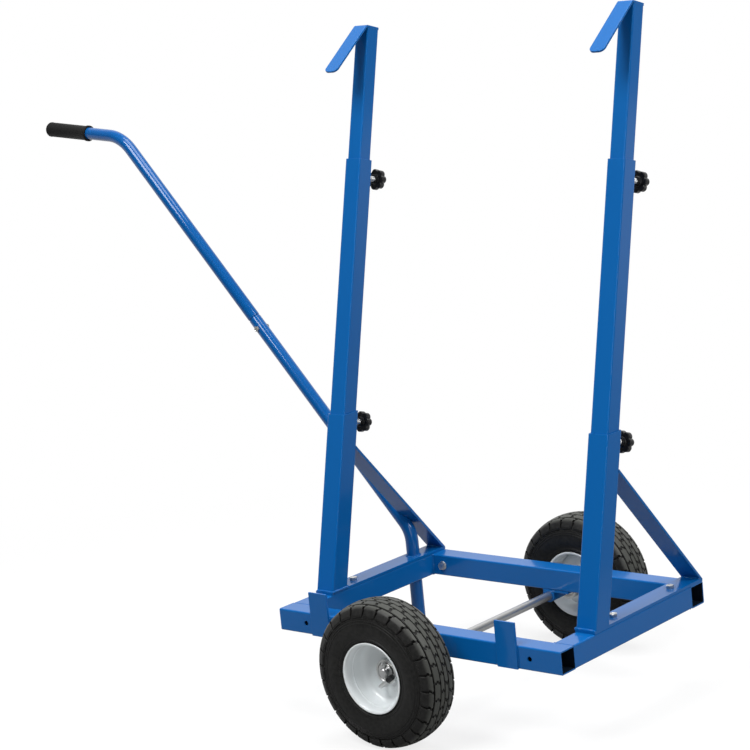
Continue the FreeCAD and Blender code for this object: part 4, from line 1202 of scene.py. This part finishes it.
def floor_material():
    """Grey paper and dark boards for bounced light, glowing white to the eye."""
    material = bpy.data.materials.new("studio_floor")
    material.use_nodes = True
    tree = material.node_tree
    tree.nodes.remove(tree.nodes["Principled BSDF"])
    matt = add_node(tree, "BsdfDiffuse")
    across = add_node(tree, "VectorMath", "DOT_PRODUCT")
    across.inputs[1].default_value = ACROSS_PAPER
    beside = add_node(tree, "Math", "ABSOLUTE")
    paper_edge = add_node(tree, "MapRange")
    paper_edge.inputs["From Min"].default_value = 1.25
    paper_edge.inputs["From Max"].default_value = 1.55
    ground, paper, boards, ground_colour = colour_mix(tree)
    paper.default_value = (0.3, 0.3, 0.3, 1)
    boards.default_value = (0.12, 0.12, 0.12, 1)
    path = add_node(tree, "LightPath")
    viewed, hidden, white, viewed_colour = colour_mix(tree)
    white.default_value = (0.9, 0.9, 0.9, 1)
    glow = add_node(tree, "Emission")
    glow.inputs["Color"].default_value = (1, 1, 1, 1)
    place = add_node(tree, "TexCoord")
    away = add_node(tree, "VectorMath", "LENGTH")
    fade = add_node(tree, "MapRange")
    fade.interpolation_type = "SMOOTHSTEP"
    fade.inputs["From Min"].default_value = 0.5
    fade.inputs["From Max"].default_value = 1.6
    fade.inputs["To Min"].default_value = 0.8
    fade.inputs["To Max"].default_value = 1.0
    share = add_node(tree, "Math", "MULTIPLY")
    mix = add_node(tree, "MixShader")
    backdrop = towards_backdrop(tree, place.outputs["Object"], -0.6, 1.2)
    connect(
        tree,
        (place.outputs["Object"], across.inputs[0]),
        (across.outputs["Value"], beside.inputs[0]),
        (beside.outputs["Value"], paper_edge.inputs["Value"]),
        (paper_edge.outputs["Result"], ground.inputs["Factor"]),
        (ground_colour, hidden),
        (path.outputs["Is Camera Ray"], viewed.inputs["Factor"]),
        (viewed_colour, matt.inputs["Color"]),
        (place.outputs["Object"], away.inputs[0]),
        (away.outputs["Value"], fade.inputs["Value"]),
        (fade.outputs["Result"], share.inputs[0]),
        (seen_ray(tree, backdrop), share.inputs[1]),
        (share.outputs["Value"], mix.inputs["Fac"]),
        (matt.outputs["BSDF"], mix.inputs[1]),
        (glow.outputs["Emission"], mix.inputs[2]),
        (mix.outputs["Shader"], tree.nodes["Material Output"].inputs["Surface"]),
    )
    return material


floor_mesh = bmesh.new()
floor_edge = circle(Vector((0, 0, 0)), ALONG_X, ALONG_Y, FLOOR_REACH, 96)
floor_mesh.faces.new([floor_mesh.verts.new(spot) for spot in floor_edge])
floor_data = bpy.data.meshes.new("studio_floor")
floor_mesh.to_mesh(floor_data)
floor_mesh.free()
floor_data.materials.append(floor_material())
floor = bpy.data.objects.new("studio_floor", floor_data)
floor.location.z = -0.4 * MM
bpy.context.scene.collection.objects.link(floor)

world = bpy.data.worlds.new("studio_room")
world.use_nodes = True
bpy.context.scene.world = world
room = world.node_tree
walls = room.nodes["Background"]
walls.inputs["Color"].default_value = (1, 1, 1, 1)
outlook = add_node(room, "TexCoord")
backdrop = towards_backdrop(room, outlook.outputs["Generated"], 0.25, 0.6)
dimming = towards_backdrop(room, outlook.outputs["Generated"], -0.5, 0.5)
strength = add_node(room, "MapRange")
strength.inputs["To Max"].default_value = 1.0
dim = add_node(room, "MapRange")
dim.inputs["To Min"].default_value = 0.03
dim.inputs["To Max"].default_value = 0.34
connect(
    room,
    (dimming, dim.inputs["Value"]),
    (dim.outputs["Result"], strength.inputs["To Min"]),
    (seen_ray(room, backdrop), strength.inputs["Value"]),
    (strength.outputs["Result"], walls.inputs["Strength"]),
)

LOOK_AT = Vector((0.15, 0, 0.6))
for name, spot, width, height, power in (
    ("key_lamp", (0.0, -2.4, 3.45), 2.0, 2.0, 122),
    ("top_lamp", (0.6, 0.4, 4.4), 2.6, 2.6, 100),
    ("side_lamp", (3.6, 0.4, 3.0), 1.8, 1.8, 92),
    ("edge_lamp", (3.0, -1.8, 1.3), 0.6, 1.9, 13),
):
    lamp = bpy.data.lights.new(name, "AREA")
    lamp.shape = "ELLIPSE"
    lamp.size = width
    lamp.size_y = height
    lamp.energy = power
    light = bpy.data.objects.new(name, lamp)
    light.location = spot
    light.rotation_euler = (LOOK_AT - light.location).to_track_quat("-Z", "Y").to_euler()
    bpy.context.scene.collection.objects.link(light)

camera = bpy.data.objects.new("camera", bpy.data.cameras.new("camera"))
camera.data.sensor_width = 36
camera.data.lens = 103.83
camera.data.clip_start = 0.05
camera.data.clip_end = 100
swing = Matrix.Rotation(radians(41.454), 4, "Z")
tilt = Matrix.Rotation(radians(90 - 10.337), 4, "X")
roll = Matrix.Rotation(radians(-5.640), 4, "Z")
eye = Matrix.Translation((axle_middle.x + 2.33240, -2.88590, 1.27110))
camera.matrix_world = eye @ swing @ tilt @ roll
bpy.context.scene.collection.objects.link(camera)
bpy.context.scene.camera = camera
bpy.context.scene.view_settings.view_transform = "Standard"
